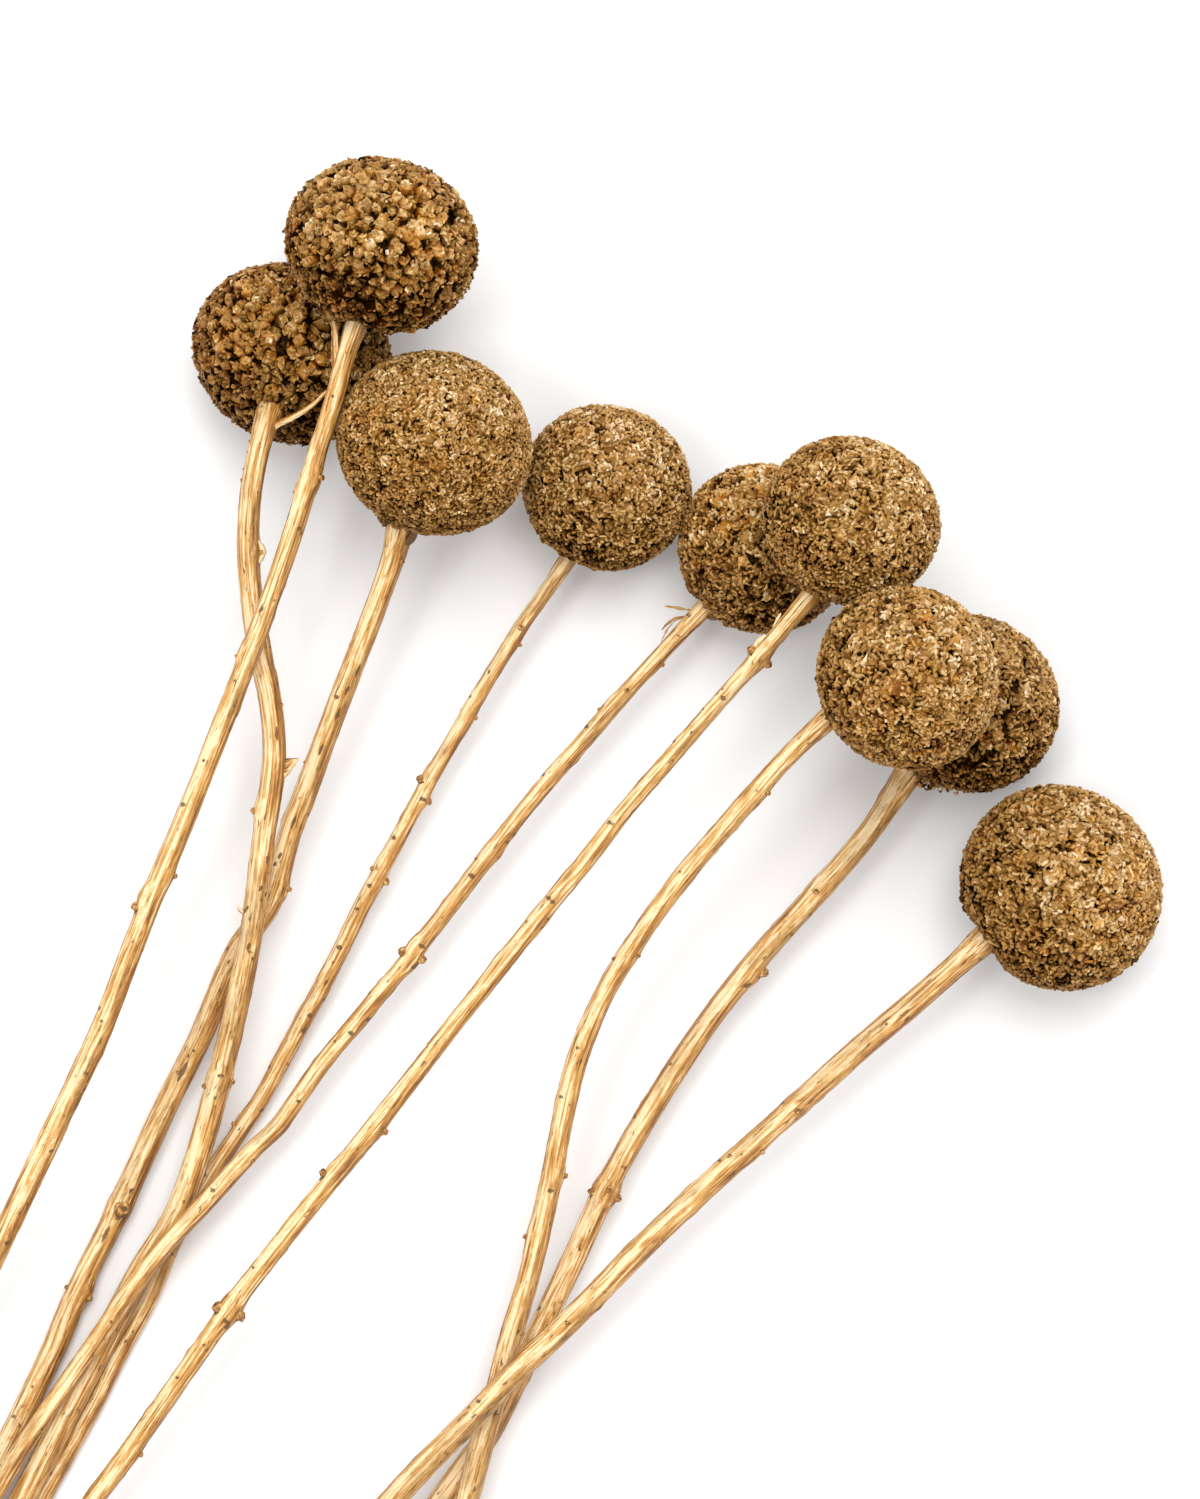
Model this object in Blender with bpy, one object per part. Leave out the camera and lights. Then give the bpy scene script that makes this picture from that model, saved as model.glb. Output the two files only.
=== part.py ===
"""A bunch of nine dried craspedia lying on a flat surface.

Each flower is a round head of packed florets on one stiff stem. The stem's tip sits in a blind socket in
the head's base. The heads lie in a pile: some rest on the surface and the others lean on them, and the
stems run down from them to the surface, over and under each other.

The frame: +Y points from the cut ends to the heads, +Z is up, and the surface is z = 0. The origin is the
middle of the bunch's footprint. Places along the stems are given as they are seen in the photograph, in
its pixels, with a real height above the surface in mm. All else is a real size.
"""
from math import cos, pi, radians
from typing import NamedTuple

import bmesh
import bpy
import numpy as np
from mathutils import Matrix, Vector

MM = 0.001

# The photograph, taken from straight above: one pixel on the surface, its middle, and its eye's height.
PIXEL = 0.16 * MM
PHOTO_MIDDLE = (600.0, 749.5)
EYE_HEIGHT = 1200.0 * MM
# The footprint's middle, measured from the photograph's middle.
FOOTPRINT_MIDDLE = (-48.2 * MM, -81.6 * MM)

# Heads
PEAK_HEIGHT = (-0.3 * MM, 0.4 * MM)
VALLEY_DEPTH = (1.1 * MM, 1.6 * MM)
FLORET_JITTER = 0.16
LUMP_HEIGHT = 0.35 * MM
LUMP_WAVES = 3
# What would lie lower than this is pressed flat on the surface.
REST_BAND = 1.45 * MM

# Stems
SIDES = 8
RING_STEP = 11.5 * MM
SOCKET_DEPTH = 4.0 * MM
SOCKET_LENGTH = 14.0 * MM
SOCKET_SIDES = 12
CLEARANCE = 0.3 * MM
SOCKET_PLAY = 0.45 * MM
KNOT_LENGTH = 2.2 * MM
# Rings beside each knot, the reach that plain rings keep clear, and the least step, in knot lengths.
KNOT_RINGS = (-0.8, 0.0, 0.8)
KNOT_REACH = 1.6
LEAST_STEP = 0.4
ROOT_DEPTH = 0.8 * MM
LIMB_SIDES = 6
LIMB_RINGS = 4

GOLDEN_ANGLE = pi * (3.0 - 5.0 ** 0.5)
UP = np.array([0.0, 0.0, 1.0])
SHARP_ANGLE = radians(50.0)


class Flower(NamedTuple):
    """One flower. Sizes are in mm, and places are (photo x, photo y, height in mm)."""

    head: tuple        # the head's middle
    across: float      # the head's size across its stem
    along: float       # the head's size in line with its stem
    base: float        # from the head's middle to its flattened base
    florets: int
    widths: tuple      # the stem's width under the head and at its cut end
    route: tuple       # from the head's base to the cut end
    knots: tuple       # (photo y, side, height in mm), with side -1 left, 1 right and 0 all round
    limbs: tuple       # twigs and spurs: (root, tip, root width, tip width)
    head_colour: tuple
    stem_colour: tuple


FLOWERS = (
    Flower(
        head=(381.5, 246, 33.5), across=29.9, along=26.8, base=12.1, florets=160, widths=(2.6, 4.4),
        route=((359, 316, 32.6), (345, 357, 31.6), (336, 392, 30.9), (319.5, 446, 30.0), (291.5, 537, 28.9),
               (249, 656, 27.6), (225, 717, 26.6), (184.5, 820, 24.8), (152.5, 897, 23.3),
               (130.5, 954, 22.2), (101.5, 1030, 20.9), (58.5, 1120, 19.2), (-122, 1499, 13.6),
               (-305, 1870, 8.4), (-545, 2330, 2.05)),
        knots=((474, 1, 0.6), (488, -1, 0.5), (655, -1, 0.5), (874, 1, 0.4), (900, -1, 1.0),
               (1720, 1, 0.5), (2080, -1, 0.6)),
        limbs=(((335, 362, 31.4), (327, 318, 32.2), 1.2, 0.7),),
        head_colour=(0.30, 0.17, 0.065), stem_colour=(0.72, 0.47, 0.18),
    ),
    Flower(
        head=(293, 353, 14.35), across=31.3, along=25.2, base=12.4, florets=160, widths=(3.4, 4.5),
        route=((269.5, 412, 22.4), (265, 427, 24.6), (259.5, 447, 25.2), (252, 485, 24.6), (248, 546, 23.0),
               (252, 600, 21.6), (261, 658, 20.4), (270, 700, 19.5), (274.5, 749, 18.4), (273, 774, 17.8),
               (265.5, 825, 16.5), (249.5, 945, 13.4), (225.5, 1054, 10.3), (199, 1152, 7.6),
               (177, 1212, 6.1), (141, 1272, 4.6), (22, 1499, 4.5), (-142, 1800, 3.9), (-396, 2290, 2.1)),
        knots=((551, 1, 0.7), (810, -1, 0.7), (1081, 0, 0.6), (1690, -1, 0.6), (2010, 0, 0.3)),
        limbs=(((266, 431, 25.0), (292, 421, 24.3), 1.2, 0.8), ((280, 772, 17.8), (297, 761, 18.2), 2.2, 0.8),
               ((253, 921, 14.2), (238, 908, 14.8), 1.5, 0.8)),
        head_colour=(0.27, 0.15, 0.055), stem_colour=(0.74, 0.49, 0.19),
    ),
    Flower(
        head=(435, 444, 26.9), across=30.2, along=27.6, base=13.6, florets=225, widths=(3.55, 4.1),
        route=((401, 525, 23.6), (394, 555, 22.3), (378.5, 600, 20.6), (347.5, 680.5, 17.7),
               (330.5, 724.5, 16.0), (306, 791, 13.4), (290.5, 832.5, 11.8), (275, 888, 9.9),
               (267.5, 908.5, 9.3), (241, 945, 8.1), (203, 1031, 5.8), (165, 1108.5, 4.1), (121, 1204, 2.7),
               (76.5, 1294, 2.15), (51.5, 1353, 2.05), (-21, 1499, 2.0), (-240, 1880, 2.0),
               (-497, 2310, 2.0)),
        knots=((886, 1, 0.6), (1206, 0, 0.8), (1292, 0, 0.6), (1760, -1, 0.6), (2120, -1, 0.5)),
        limbs=(),
        head_colour=(0.38, 0.235, 0.10), stem_colour=(0.70, 0.45, 0.17),
    ),
    Flower(
        head=(606, 489, 12.85), across=26.4, along=25.2, base=11.8, florets=215, widths=(2.2, 3.3),
        route=((571, 555, 11.8), (543.5, 595, 11.1), (523, 623.5, 10.6), (486.5, 682.5, 9.6),
               (452.5, 741, 8.6), (421.5, 795, 7.7), (393, 848.5, 6.8), (364, 902.5, 5.9),
               (339.5, 953, 5.1), (286, 1052, 3.6), (262, 1097, 2.9), (236.5, 1136, 2.3), (213, 1171, 1.8),
               (175, 1237, 1.6), (150, 1296, 1.55), (119, 1354, 1.5), (95, 1402, 1.5), (41, 1499, 1.5),
               (-156, 1880, 1.5), (-346, 2265, 1.55)),
        knots=((642, 1, 0.4), (718, 1, 0.4), (776, -1, 0.6), (798, 1, 0.5), (865, -1, 0.4), (881, 1, 0.5),
               (1121, -1, 0.4), (1800, 1, 0.4)),
        limbs=(),
        head_colour=(0.36, 0.22, 0.09), stem_colour=(0.70, 0.46, 0.18),
    ),
    Flower(
        head=(763, 549, 13.05), across=26.9, along=25.8, base=12.3, florets=190, widths=(2.4, 3.4),
        route=((709, 603, 12.3), (671.5, 642.5, 12.1), (628.5, 689.5, 11.8), (586.5, 737.5, 11.5),
               (552, 776.5, 11.3), (502, 838, 10.9), (459, 894.5, 10.6), (412, 954.5, 10.3),
               (353, 1026, 9.9), (324.5, 1060.5, 9.75), (296, 1101, 9.6), (278, 1126, 9.5),
               (254, 1149, 9.4), (209, 1199, 9.5), (163, 1248, 9.65), (127, 1296, 9.6), (92, 1347, 9.2),
               (8, 1470, 8.0), (-199, 1850, 6.7), (-441, 2280, 1.6)),
        knots=((663, 1, 0.4), (706, -1, 0.4), (855, 0, 0.3), (947, -1, 0.8), (960, 1, 0.8), (1980, 0, 0.3)),
        limbs=(),
        head_colour=(0.30, 0.18, 0.07), stem_colour=(0.73, 0.49, 0.20),
    ),
    Flower(
        head=(851, 521, 35.9), across=26.8, along=25.4, base=12.7, florets=215, widths=(2.3, 3.6),
        route=((813, 593, 34.2), (776, 636, 33.0), (759.5, 655.5, 32.1), (716.5, 705, 31.0),
               (670, 758.5, 29.8), (624, 811.5, 28.6), (584, 863, 27.5), (555, 898, 26.8),
               (513.5, 949.5, 25.7), (446, 1035, 23.9), (409, 1082.5, 23.0), (386.5, 1111.5, 22.4),
               (348.5, 1159, 21.4), (315, 1199.5, 20.5), (274.5, 1250.5, 19.5), (233, 1304, 18.4),
               (195, 1358, 17.3), (111.5, 1476, 15.0), (94, 1499.5, 14.5), (-120, 1850, 8.2),
               (-296, 2240, 1.65)),
        knots=((650, -1, 0.5), (662, 1, 0.5), (917, 0, 0.3), (1128, 1, 0.4), (1172, -1, 0.6),
               (1304, -1, 0.7), (1316, 1, 0.7), (1451, 1, 0.4), (1930, -1, 0.4)),
        limbs=(),
        head_colour=(0.37, 0.225, 0.09), stem_colour=(0.72, 0.48, 0.19),
    ),
    Flower(
        head=(907, 677, 43.0), across=28.2, along=27.0, base=13.0, florets=190, widths=(2.75, 4.3),
        route=((833.5, 713.5, 39.4), (798, 746, 37.2), (759, 788, 34.6), (721, 832, 32.0),
               (685, 873.5, 29.4), (641, 933.5, 26.0), (604, 994.5, 22.8), (578, 1057.5, 19.8),
               (569, 1090, 18.4), (551.5, 1176.5, 15.3), (531, 1268, 12.2), (507, 1351, 10.1),
               (494, 1402, 9.1), (480, 1451, 8.4), (467, 1499, 7.7), (350, 1900, 3.6), (213, 2330, 2.0)),
        knots=((790, 1, 0.4), (954, 0, 0.3), (1173, 1, 0.6), (1236, -1, 0.4), (1780, -1, 0.5),
               (2100, 1, 0.4)),
        limbs=(),
        head_colour=(0.35, 0.215, 0.09), stem_colour=(0.73, 0.48, 0.18),
    ),
    Flower(
        head=(969, 703, 13.6), across=27.8, along=27.0, base=13.4, florets=180, widths=(3.55, 4.25),
        route=((910, 771, 12.8), (863.5, 839.5, 11.8), (811, 899.5, 10.9), (758, 958, 9.9),
               (712.5, 1016, 9.0), (656.5, 1100.5, 7.7), (607.5, 1186, 6.4), (575, 1256, 5.5),
               (543, 1323, 4.8), (516, 1379, 4.4), (488, 1434, 4.2), (442, 1499, 3.9), (190, 1930, 2.7),
               (-35, 2330, 2.0)),
        knots=((888, 0, 0.3), (972, 1, 0.9), (1192, 0, 0.6), (1195, 1, 0.4), (1830, 1, 0.6),
               (2140, -1, 0.5)),
        limbs=(),
        head_colour=(0.29, 0.17, 0.065), stem_colour=(0.73, 0.47, 0.17),
    ),
    Flower(
        head=(1061, 888, 15.85), across=32.4, along=30.4, base=13.8, florets=210, widths=(3.9, 4.0),
        route=((990, 935, 15.7), (924.5, 993.5, 15.5), (864.5, 1044.5, 15.3), (805, 1098, 15.1),
               (747.5, 1149.5, 14.9), (692, 1200, 14.8), (642.5, 1247, 14.6), (586, 1305, 14.4),
               (554, 1336, 14.2), (522, 1365, 14.1), (492, 1397, 13.9), (391, 1501, 12.5), (80, 1880, 7.4),
               (-280, 2340, 1.95)),
        knots=((1107, 0, 0.3), (1151, 1, 0.4), (1760, 1, 0.5), (2110, -1, 0.5)),
        limbs=(),
        head_colour=(0.33, 0.20, 0.08), stem_colour=(0.70, 0.48, 0.21),
    ),
)


def spot(place):
    """Turn a place seen in the photograph, with its height in mm, into a real point."""
    across, down, height = place
    nearer = 1.0 - height * MM / EYE_HEIGHT
    x = (across - PHOTO_MIDDLE[0]) * PIXEL * nearer - FOOTPRINT_MIDDLE[0]
    y = (PHOTO_MIDDLE[1] - down) * PIXEL * nearer - FOOTPRINT_MIDDLE[1]
    return np.array([x, y, height * MM])


def unit(vectors):
    """Vectors along the last axis at length 1."""
    return vectors / np.linalg.norm(vectors, axis=-1, keepdims=True)


def smooth_curve(points, at):
    """A smooth curve through the points, read at distances measured along the points' own chords.

    Between two points it is a cubic whose slopes at both ends are the mean of the neighbouring chords.
    """
    reach = np.append(0.0, np.cumsum(np.linalg.norm(np.diff(points, axis=0), axis=1)))
    chords = np.diff(points, axis=0) / np.diff(reach)[:, None]
    slopes = np.vstack([chords[:1], (chords[1:] + chords[:-1]) / 2.0, chords[-1:]])
    span = np.clip(np.searchsorted(reach, at, side="right") - 1, 0, len(points) - 2)
    width = (reach[span + 1] - reach[span])[:, None]
    t = (at - reach[span])[:, None] / width
    start, end = points[span], points[span + 1]
    rise = slopes[span] * width
    fall = slopes[span + 1] * width
    return (start * (2 * t**3 - 3 * t**2 + 1) + rise * (t**3 - 2 * t**2 + t)
            + end * (3 * t**2 - 2 * t**3) + fall * (t**3 - t**2))


def tube(name, centres, radii, sides):
    """A closed tube round a line of centres, with a radius for each corner of each ring."""
    forward = unit(np.gradient(centres, axis=0))
    right = unit(np.cross(UP, forward))
    above = np.cross(forward, right)
    angles = (np.arange(sides) + 0.5) * 2 * pi / sides
    outward = np.cos(angles)[:, None] * right[:, None] + np.sin(angles)[:, None] * above[:, None]
    points = (centres[:, None] + outward * radii[..., None]).reshape(-1, 3)
    points[:, 2] = np.maximum(points[:, 2], 0.0)
    ring, side = np.meshgrid(np.arange(len(centres) - 1), np.arange(sides), indexing="ij")
    first, second = ring * sides + side, ring * sides + (side + 1) % sides
    walls = np.stack([first, second, second + sides, first + sides], axis=-1).reshape(-1, 4)
    last = (len(centres) - 1) * sides
    ends = [list(range(sides))[::-1], list(range(last, last + sides))]
    mesh = bpy.data.meshes.new(name)
    mesh.from_pydata(points.tolist(), [], walls.tolist() + ends)
    thing = bpy.data.objects.new(name, mesh)
    bpy.context.collection.objects.link(thing)
    return thing


def apply_boolean(thing, other, operation):
    """Join the other object to a thing, or cut it away, and remove the other object."""
    modifier = thing.modifiers.new(operation.title(), "BOOLEAN")
    modifier.operation = operation
    modifier.solver = "EXACT"
    modifier.object = other
    bpy.context.view_layer.update()
    graph = bpy.context.evaluated_depsgraph_get()
    result = bpy.data.meshes.new_from_object(thing.evaluated_get(graph))
    thing.modifiers.clear()
    thing.data = result
    bpy.data.objects.remove(other, do_unlink=True)


def stem_line(flower):
    """The stem's ring centres, how far along it each lies, where its knots are, and its length."""
    points = np.array([spot(place) for place in flower.route])
    tip = points[0] - unit(points[1] - points[0]) * SOCKET_DEPTH
    points = np.vstack([tip, points])
    downs = np.array([flower.route[0][1]] + [place[1] for place in flower.route], float)
    reach = np.append(0.0, np.cumsum(np.linalg.norm(np.diff(points, axis=0), axis=1)))
    knots = np.interp([knot[0] for knot in flower.knots], downs[1:], reach[1:])
    even = np.linspace(0.0, reach[-1], round(reach[-1] / RING_STEP))
    clear = [at for at in even
             if at in (0.0, reach[-1]) or np.min(np.abs(knots - at)) > KNOT_REACH * KNOT_LENGTH]
    near = [knot + shift * KNOT_LENGTH for knot in knots for shift in KNOT_RINGS]
    along = np.unique(clear + near + [SOCKET_DEPTH])
    along = along[np.append(True, np.diff(along) > LEAST_STEP * KNOT_LENGTH)]
    return smooth_curve(points, along), along, knots, reach[-1]


def stem(name, flower):
    """One stem: a tapering tube with a swelling at each knot, and its twigs and spurs."""
    centres, along, knots, length = stem_line(flower)
    top, foot = flower.widths
    radius = (top + (foot - top) * np.sqrt(along / length)) * MM / 2.0
    angles = (np.arange(SIDES) + 0.5) * 2 * pi / SIDES
    radii = np.repeat(radius[:, None], SIDES, axis=1)
    for at, (_, side, height) in zip(knots, flower.knots):
        swelling = np.exp(-(((along - at) / KNOT_LENGTH) ** 2))
        facing = np.maximum(side * np.cos(angles), 0.0) if side else np.ones(SIDES)
        radii += height * MM * swelling[:, None] * facing[None, :]
    thing = tube(name, centres, radii, SIDES)
    for root, tip, root_width, tip_width in flower.limbs:
        ends = np.array([spot(root), spot(tip)])
        ends[0] -= unit(ends[1] - ends[0]) * ROOT_DEPTH
        line = np.linspace(ends[0], ends[1], LIMB_RINGS)
        radii = np.linspace(root_width, tip_width, LIMB_RINGS)[:, None] * MM / 2.0
        limb = tube(name + "_limb", line, np.repeat(radii, LIMB_SIDES, axis=1), LIMB_SIDES)
        apply_boolean(thing, limb, "UNION")
    return thing


def head_axis(flower):
    """The direction from the head's middle to its base, where the stem enters."""
    return unit(spot(flower.route[0]) - spot(flower.head))


def head(name, flower, seed):
    """One head: packed florets standing out of a ball, with a flat base and a socket for the stem.

    The florets' middles are spread evenly over a ball and moved a little at random. The hull of those
    points gives each floret its neighbours. Each triangle of the hull gets a valley at its middle, and
    its edges are turned to run from valley to valley, so every floret becomes a pyramid on the ball.
    """
    chance = np.random.default_rng(seed)
    count = flower.florets
    order = np.arange(count) + 0.5
    height = 1.0 - 2.0 * order / count
    turn = GOLDEN_ANGLE * order
    ring = np.sqrt(1.0 - height**2)
    middles = np.stack([ring * np.cos(turn), ring * np.sin(turn), height], axis=1)
    spacing = (4.0 * pi / count) ** 0.5
    middles = unit(middles + chance.normal(0.0, FLORET_JITTER * spacing, middles.shape))

    work = bmesh.new()
    for point in middles:
        work.verts.new(point)
    bmesh.ops.convex_hull(work, input=work.verts)
    hull_edges = list(work.edges)
    valleys = bmesh.ops.poke(work, faces=work.faces)["verts"]
    bmesh.ops.rotate_edges(work, edges=hull_edges)
    bmesh.ops.recalc_face_normals(work, faces=work.faces)
    work.verts.index_update()
    rise = chance.uniform(*PEAK_HEIGHT, len(work.verts))
    sunk = {vertex.index for vertex in valleys}
    depth = chance.uniform(*VALLEY_DEPTH, len(work.verts))
    rise = np.where([vertex.index in sunk for vertex in work.verts], -depth, rise)

    out = unit(np.array([vertex.co[:] for vertex in work.verts]))
    waves = unit(chance.normal(size=(LUMP_WAVES, 3)))
    phases = chance.uniform(0.0, 2.0 * pi, LUMP_WAVES)
    rise += LUMP_HEIGHT * np.sin(LUMP_WAVES * out @ waves.T + phases).mean(axis=1)
    axis = head_axis(flower)
    inline = out @ axis
    base = flower.base * MM
    down = np.minimum(inline * flower.along * MM / 2.0, base)
    sideways = (out - inline[:, None] * axis) * flower.across * MM / 2.0
    points = spot(flower.head) + sideways + down[:, None] * axis + out * rise[:, None]
    points[points[:, 2] < REST_BAND, 2] = 0.0
    for vertex, point in zip(work.verts, points):
        vertex.co = point

    mesh = bpy.data.meshes.new(name)
    work.to_mesh(mesh)
    work.free()
    thing = bpy.data.objects.new(name, mesh)
    bpy.context.collection.objects.link(thing)
    cut_socket(thing, flower)
    return thing


def cut_socket(thing, flower):
    """Cut the blind socket that the stem's tip sits in, a clearance wider and deeper than the tip."""
    start, end = spot(flower.route[0]), spot(flower.route[1])
    forward = unit(end - start)
    radius = (flower.widths[0] * MM / 2.0 + SOCKET_PLAY) / cos(pi / SOCKET_SIDES)
    middle = start + forward * (SOCKET_LENGTH / 2.0 - SOCKET_DEPTH - CLEARANCE)
    bpy.ops.mesh.primitive_cylinder_add(vertices=SOCKET_SIDES, radius=radius, depth=SOCKET_LENGTH)
    cutter = bpy.context.active_object
    turn = Vector(forward).to_track_quat("Z", "Y").to_matrix().to_4x4()
    cutter.matrix_world = Matrix.Translation(middle) @ turn
    cutter.hide_render = True
    cutter.display_type = "WIRE"
    apply_boolean(thing, cutter, "DIFFERENCE")


def give_material(thing, name, colour, roughness):
    """Give a thing its own matt material."""
    material = bpy.data.materials.new(name)
    material.use_nodes = True
    shader = material.node_tree.nodes["Principled BSDF"]
    shader.inputs["Base Color"].default_value = (*colour, 1.0)
    shader.inputs["Roughness"].default_value = roughness
    shader.inputs["Metallic"].default_value = 0.0
    thing.data.materials.clear()
    thing.data.materials.append(material)


def main():
    """Remove what the scene holds and build the bunch."""
    for thing in list(bpy.data.objects):
        bpy.data.objects.remove(thing, do_unlink=True)
    for number, flower in enumerate(FLOWERS, start=1):
        bloom = head(f"head_{number}", flower, seed=40 + number)
        give_material(bloom, f"dried florets {number}", flower.head_colour, roughness=0.85)
        stalk = stem(f"stem_{number}", flower)
        give_material(stalk, f"dried stem {number}", flower.stem_colour, roughness=0.6)
        stalk.data.shade_smooth()
        stalk.data.set_sharp_from_angle(angle=SHARP_ANGLE)


main()
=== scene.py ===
"""The look of a bunch of nine dried craspedia lying on a pale surface, seen from straight above.

Each head is one mesh: a dark ball packed with crumpled lumps, thousands of curled papery chips over them,
dry bracts round the stem, and on two heads torn tufts at the base. Each stem is one mesh: a ribbed,
tapering tube along the same route as its solid, with its knots, nubs, dark slits, side twigs and papery
strips. The bunch lies on matt white board in the even light of a white tent. Sizes are in mm where a
comment says so, and the scene is in metres.
"""
from functools import partial
from math import cos, pi, radians, sin
from typing import NamedTuple

import bpy
import numpy as np
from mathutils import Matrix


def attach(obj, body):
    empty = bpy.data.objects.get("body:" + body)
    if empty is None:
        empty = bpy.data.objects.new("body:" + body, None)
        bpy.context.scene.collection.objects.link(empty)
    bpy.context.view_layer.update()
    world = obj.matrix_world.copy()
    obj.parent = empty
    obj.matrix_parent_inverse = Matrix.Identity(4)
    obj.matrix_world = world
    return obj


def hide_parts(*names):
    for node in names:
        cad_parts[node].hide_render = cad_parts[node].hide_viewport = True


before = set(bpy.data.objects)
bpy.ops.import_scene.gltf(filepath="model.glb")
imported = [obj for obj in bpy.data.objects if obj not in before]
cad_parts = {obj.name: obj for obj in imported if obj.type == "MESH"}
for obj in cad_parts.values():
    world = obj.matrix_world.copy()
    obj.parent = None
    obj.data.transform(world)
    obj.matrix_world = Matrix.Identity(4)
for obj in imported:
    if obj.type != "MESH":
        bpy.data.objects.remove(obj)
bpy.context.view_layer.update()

MM = 0.001
UP = np.array([0.0, 0.0, 1.0])
GOLDEN_ANGLE = pi * (3.0 - 5.0 ** 0.5)

# The photograph, taken from straight above: one pixel on the surface, its size and its eye's height.
PIXEL = 0.16 * MM
PHOTO_SIZE = (1200, 1499)
PHOTO_MIDDLE = (600.0, 749.5)
EYE_HEIGHT = 1200.0 * MM
FOOTPRINT_MIDDLE = (-48.2 * MM, -81.6 * MM)

# Nothing goes lower than this.
LEAST_HEIGHT = 0.02 * MM


class Flower(NamedTuple):
    """One flower. Sizes are in mm, and places are (photo x, photo y, height in mm)."""

    head: tuple         # the head's middle
    across: float       # the head's size across its stem
    along: float        # the head's size in line with its stem
    base: float         # from the head's middle to its flattened base
    lump: float         # from lump to lump
    relief: float       # how far the lumps stand up
    curl: float         # from chip to chip
    tone: float         # how pale it is, against the usual 0
    amber: float        # share of lumps that are resinous amber buds
    holes: float        # share of lumps that are missing and leave a dark hole
    widths: tuple       # the stem's width under the head and at its cut end
    route: tuple        # from the head's base to the cut end
    knots: tuple        # (photo y, side, height in mm), with side -1 left, 1 right and 0 all round
    nubs: tuple = ()    # (photo y, turn round the stem in degrees from its right over its top, width in mm)
    scars: tuple = ()   # (photo y, turn, length in mm) of each dark slit
    limbs: tuple = ()   # (places from its root, root width, tip width) of each side twig, widths in mm
    strips: tuple = ()  # (places from its root, width in mm, brownness from 0 to 1) of each papery strip
    painted_shadows: tuple = ()  # (place, radius in mm, how much darker) of each painted shadow cast on the head by a neighbouring head
    tufts: tuple = ()   # (place, spread in mm, number of chips) of each torn tuft at the head's base


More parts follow.
